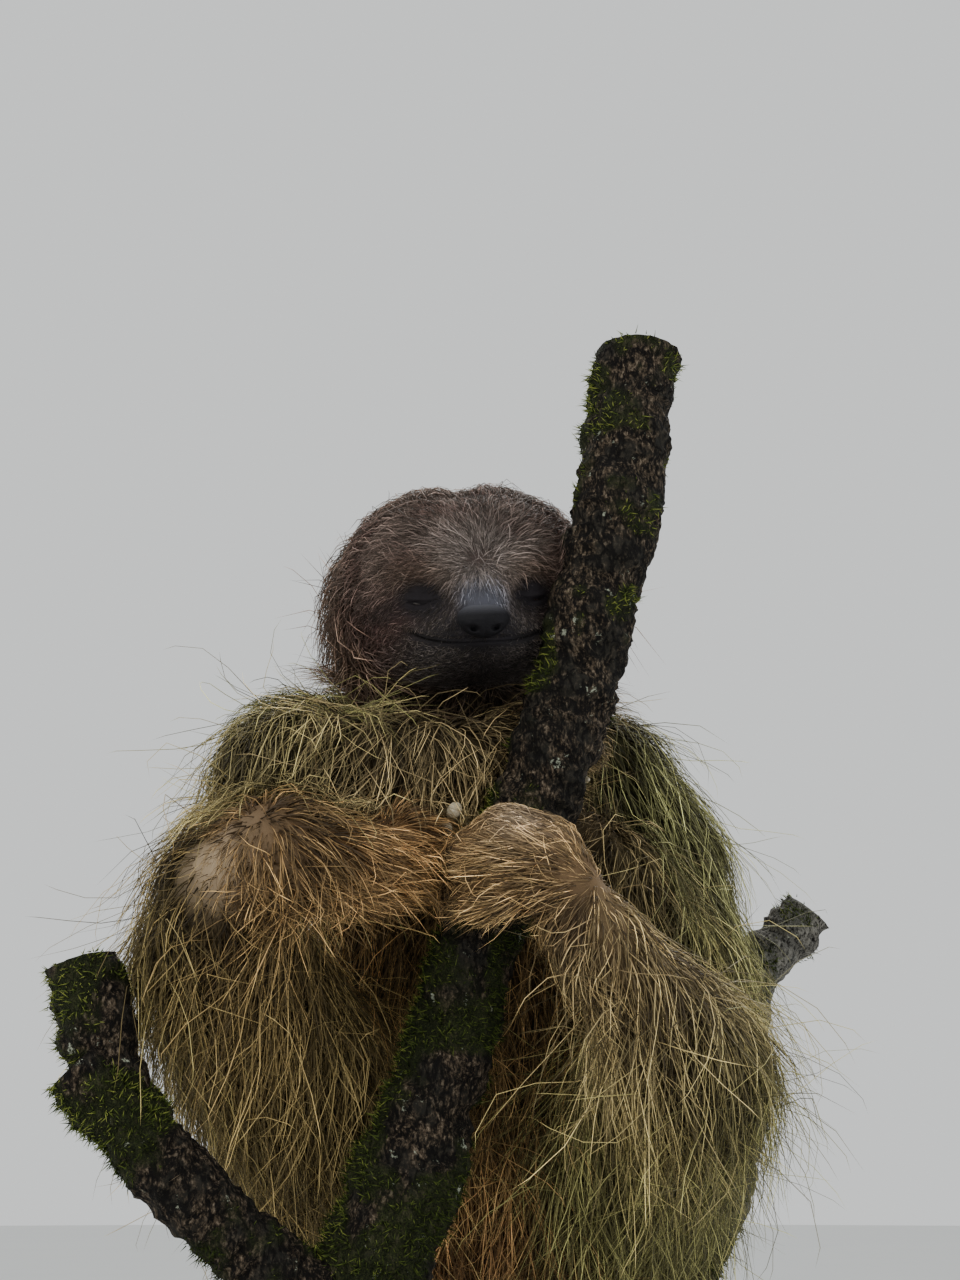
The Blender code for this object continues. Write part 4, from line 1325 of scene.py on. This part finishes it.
def coat_pieces(name, spines, widths, root_colours, tip_colours, places):
    """Shuffles hairs and joins them into as few pieces as keep each under the most triangles."""
    rings = spines.shape[1] - 1
    triangles = len(spines) * (6 * rings - 2)
    order = dice.permutation(len(spines))
    for number, some in enumerate(np.array_split(order, math.ceil(triangles / MOST_TRIANGLES))):
        points = strand_arrays(spines[some], widths[some])
        piece = surface_piece(f"{name}_{number + 1}", points.reshape(-1, 3),
                              strand_faces(len(some), rings), hair_material)
        ramp = np.concatenate([np.repeat(np.arange(rings) / rings, 3), [1.0]])[None, :, None]
        paint(piece, "hair", root_colours[some][:, None] * (1 - ramp) + tip_colours[some][:, None] * ramp)
        uv = piece.data.uv_layers.new(name="OFBake")
        uv.data.foreach_set("uv", strand_uv(rings, places[some]).astype(np.float32).ravel())
        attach(piece, "root")


# Where the rings of a hair sit along its run of points, closer together where it bends.
PICKS = {2: (0, 0.45, 1), 3: (0, 0.3, 0.65, 1), 4: (0, 0.2, 0.45, 0.72, 1),
         6: (0, 0.1, 0.3, 0.5, 0.7, 0.9, 1)}


def thinned(spine, rings):
    """A hair's run of points cut down to a few."""
    return spine[:, [round(HAIR_STEPS * share) for share in PICKS[rings]]]


def bare_places(points):
    """1 where hair grows and 0 where skin stays bare: nose, nostrils, lid slits and mouth line."""
    x, y, z = head_local(points).T
    across = np.abs(x)
    eye = hill(across - EYE[0], 0.0055) * hill(z - EYE[2], 0.0026)
    nose = hill(x, 0.0100) ** 2 * hill(z - NOSE[2], 0.0060) ** 2
    line = (across < MOUTH_WIDE) * hill(z - mouth_line(across), 0.0009)
    bridge = inside(x / 0.0070, (z + 0.0055) / 0.0060)
    bare = (y < -0.02) * np.clip(1.3 * eye + 2.2 * nose + 1.2 * line + 0.80 * bridge, 0, 1)
    touching = feel(wood_field, points) < 0.0015
    return (1 - bare) * (1 - touching)


PAWS = ("foot_left", "foot_right", "hand_left", "hand_right")


def coat_length(root, outward, say, side_hair):
    """How long the coat is at each root: the region's own length, less on the face and round the
    eyes and mouth, on the bald shin, toes, whorls, shoulders and crease, and more at the sides of
    the head and under the left foot."""
    x, y, z = head_local(root).T
    head = region_share(say, "head")
    foot_left = region_share(say, "foot_left")
    front = head * ramp_down(y, -0.010, 0.020)
    low_face = front * ramp_down(z, 0.012, 0.020)
    mask = head * np.maximum(inside(x / 0.031, (z + 0.0235) / 0.021),
                             inside((np.abs(x) - EYE[0]) / 0.012, (z - EYE[2]) / 0.0095))
    length = say @ LENGTHS * (1 - 0.30 * front) * (1 - 0.45 * low_face) * (1 - 0.55 * mask)
    length = length + 0.026 * side_hair
    length = length + 0.013 * (foot_left * np.clip(0.25 - 1.5 * outward[:, 2], 0, 1))
    toe_end = np.max([near_spot(root, flesh[paw][-1][:3], 0.020) for paw in PAWS], 0)
    ankle = np.maximum(near_spot(root, ANKLE_WHORL_RIGHT, 0.024),
                       near_spot(root, ANKLE_WHORL_LEFT, 0.022))
    length = length * (1 - 0.80 * bald_shin(root)) * (1 - 0.5 * toe_end) * (1 - 0.45 * ankle)
    shoulder = ramp_up(root[:, 2], 0.310, 0.025) * ramp_up(np.abs(root[:, 0]), 0.052, 0.020)
    length = length * (1 - 0.42 * shoulder * (1 - head))
    past_end = foot_left * ramp_down(root[:, 0], 0.010, 0.015)
    return length * (1 - 0.7 * crease_near(root, say)) * (1 - 0.35 * past_end)


COAT_SPARE = 0.013
LOCK = 0.010
SLEEK = ("forearm_right", "upper_arm_right", "upper_arm_left", "chest", "neck")
groups = {rings: [] for rings in PICKS}


def hatch(rings, count, density, size, width, rise, lift, droop, curl, tint, jitter, bright_share=0.25,
          cling=0.10, shade=1.0):
    """Sows one kind of hair, grows it and keeps it for joining: `size` scales the coat's length
    there, `rise` is how high it stands (m), and `tint` how far its colour goes from root to tip."""
    root, outward, say = sow(count, density)
    local = head_local(root)
    head, foot_left, foot_right = (region_share(say, name) for name in ("head", "foot_left", "foot_right"))
    side_hair = head * ramp_up(local[:, 1], -0.010, 0.015) * np.clip(0.6 - local[:, 2] / 0.03, 0, 1)
    base_length = coat_length(root, outward, say, side_hair)
    length = base_length * size * dice.uniform(0.72, 1.25, count)

    clump = np.stack([clouds(root, 0.011, 101 + k) + 0.5 * clouds(root, 0.005, 201 + k)
                      for k in range(3)], 1)
    gather = np.stack([clouds(root + e, LOCK, 301) - clouds(root - e, LOCK, 301)
                       for e in 0.0012 * np.eye(3)], 1)
    long_share = np.clip(base_length / 0.03, 0.25, 1) * (1 - 0.6 * foot_left)
    stray = jitter * (1 - 0.45 * region_share(say, *SLEEK)) + 0.9 * (head * near_spot(local, WHORL, 0.0055))
    lie = unit(unit(lie_of(root, say)) + (0.50 * clump + 1.1 * gather) * long_share[:, None]
               + stray[:, None] * dice.normal(size=(count, 3)))

    ease = np.clip(base_length / 0.03, 0.15, 1)
    calm = 1 - 0.75 * foot_left - 0.55 * foot_right
    height = rise * ease * dice.uniform(0.25, 1.0, count) * calm
    height = height + 0.009 * side_hair * np.clip(0.3 - local[:, 2] / 0.04, 0, 1) * dice.random(count)
    lifts = lift * calm * dice.uniform(0.5, 1.5, count)
    droops = droop * ease * dice.uniform(0.6, 1.4, count)
    tight = np.clip(0.03 / np.maximum(base_length, 0.008), 0.6, 2)[:, None]
    curls = curl * dice.normal(size=(count, 3)) * tight
    topside = np.clip(0.5 + 2.5 * outward[:, 2], 0, 1)
    hold = cling - 0.085 * region_share(say, "foot_left", "foot_right") + 0.30 * topside * foot_left
    spine = grow(root, outward, lie, length, height, lifts, droops, curls, hold)

    root_colour, tip_colour = markings(root)
    bright = dice.random(count) < bright_share
    light = (shade * dice.lognormal(0, 0.30, count) * np.where(bright, 2.65, 0.68))[:, None]
    # Hairs in the hollows between locks are painted darker and those on the locks lighter: painted shade
    # and painted light.
    light = light * np.clip(1 + 0.55 * clouds(root, LOCK, 301) * long_share, 0.45, 1.8)[:, None]
    # The roots are painted darker than their colour, and a tint over one carries the tips past theirs:
    # painted shade deep in the coat and painted light on its surface.
    start = 0.68 * root_colour * light
    finish = blend(root_colour, tip_colour, np.full(count, tint)) * light
    wide = width * np.clip(base_length / 0.022, 0.50, 1) * dice.uniform(0.75, 1.25, count)
    low, high = np.array(solid_box)
    clear = np.all((spine > low - COAT_SPARE) & (spine < high + COAT_SPARE), axis=(1, 2))
    batch = (thinned(spine, rings), wide, start, finish, unwrap(root, say))
    groups[rings].append([part[clear] for part in batch])


# How thickly each kind of hair grows over the skin.
tri_local = head_local(tri_middle)
open_skin = bare_places(tri_middle)
paw_share = region_share(tri_say, *PAWS)
head_share = region_share(tri_say, "head")
face_share = head_share * ramp_down(tri_local[:, 1], -0.012, 0.012)
face_share = face_share * (1 + 2.5 * near_spot(tri_local, WHORL, 0.009))
toward_front = 0.8 + 0.5 * np.clip(0.5 - tri_middle[:, 1] / 0.12, 0, 1)
body_density = (1 - head_share) * open_skin * toward_front * (1 - 0.75 * bald_shin(tri_middle))
crown_density = head_share * (1 - 0.85 * np.clip(face_share, 0, 1)) * open_skin
temple_density = head_share * inside((tri_local[:, 1] - 0.012) / 0.026, (tri_local[:, 2] + 0.006) / 0.024)

# Dark woolly underfur, darkened further by its shade factor as painted shade deep in the coat.
hatch(rings=2, count=15000, density=body_density * (1 + 0.5 * paw_share), size=0.55, width=0.00080,
      rise=0.005, lift=0.30, droop=0.20, curl=0.06, tint=0.22, jitter=0.26, bright_share=0, shade=0.6)
# Short fur of the face.
hatch(rings=2, count=24000, density=face_share * open_skin + 0.01 * open_skin, size=1.0, width=0.00032,
      rise=0.0013, lift=0.20, droop=0.10, curl=0.12, tint=0.9, jitter=0.26, bright_share=0.35, cling=0.5)
# Short fur of the paws.
hatch(rings=2, count=7000, density=paw_share * open_skin, size=0.60, width=0.00042,
      rise=0.003, lift=0.22, droop=0.08, curl=0.05, tint=0.9, jitter=0.20)
# Crown and back of the head.
hatch(rings=3, count=13000, density=crown_density, size=1.10, width=0.00046,
      rise=0.0060, lift=0.24, droop=0.30, curl=0.22, tint=1.05, jitter=0.30, bright_share=0.38, cling=0.25)
# Long hair that hangs at the temples.
hatch(rings=4, count=3100, density=temple_density, size=0.95, width=0.00036,
      rise=0.0150, lift=0.30, droop=1.40, curl=0.26, tint=0.8, jitter=0.25, cling=0.20)
# The coat of trunk and limbs.
hatch(rings=4, count=30000, density=body_density * (1 - 0.4 * paw_share), size=1.0, width=0.00036,
      rise=0.010, lift=0.28, droop=0.24, curl=0.20, tint=1.15, jitter=0.38, bright_share=0.30, cling=0.22)
# Long, stray guard hairs.
hatch(rings=6, count=3000, density=body_density * (1 - paw_share), size=1.20, width=0.00034,
      rise=0.013, lift=0.34, droop=0.22, curl=0.34, tint=1.20, jitter=0.70, bright_share=0.60)

for rings, batches in groups.items():
    coat_pieces(f"coat_{rings}", *[np.concatenate(part) for part in zip(*batches)])
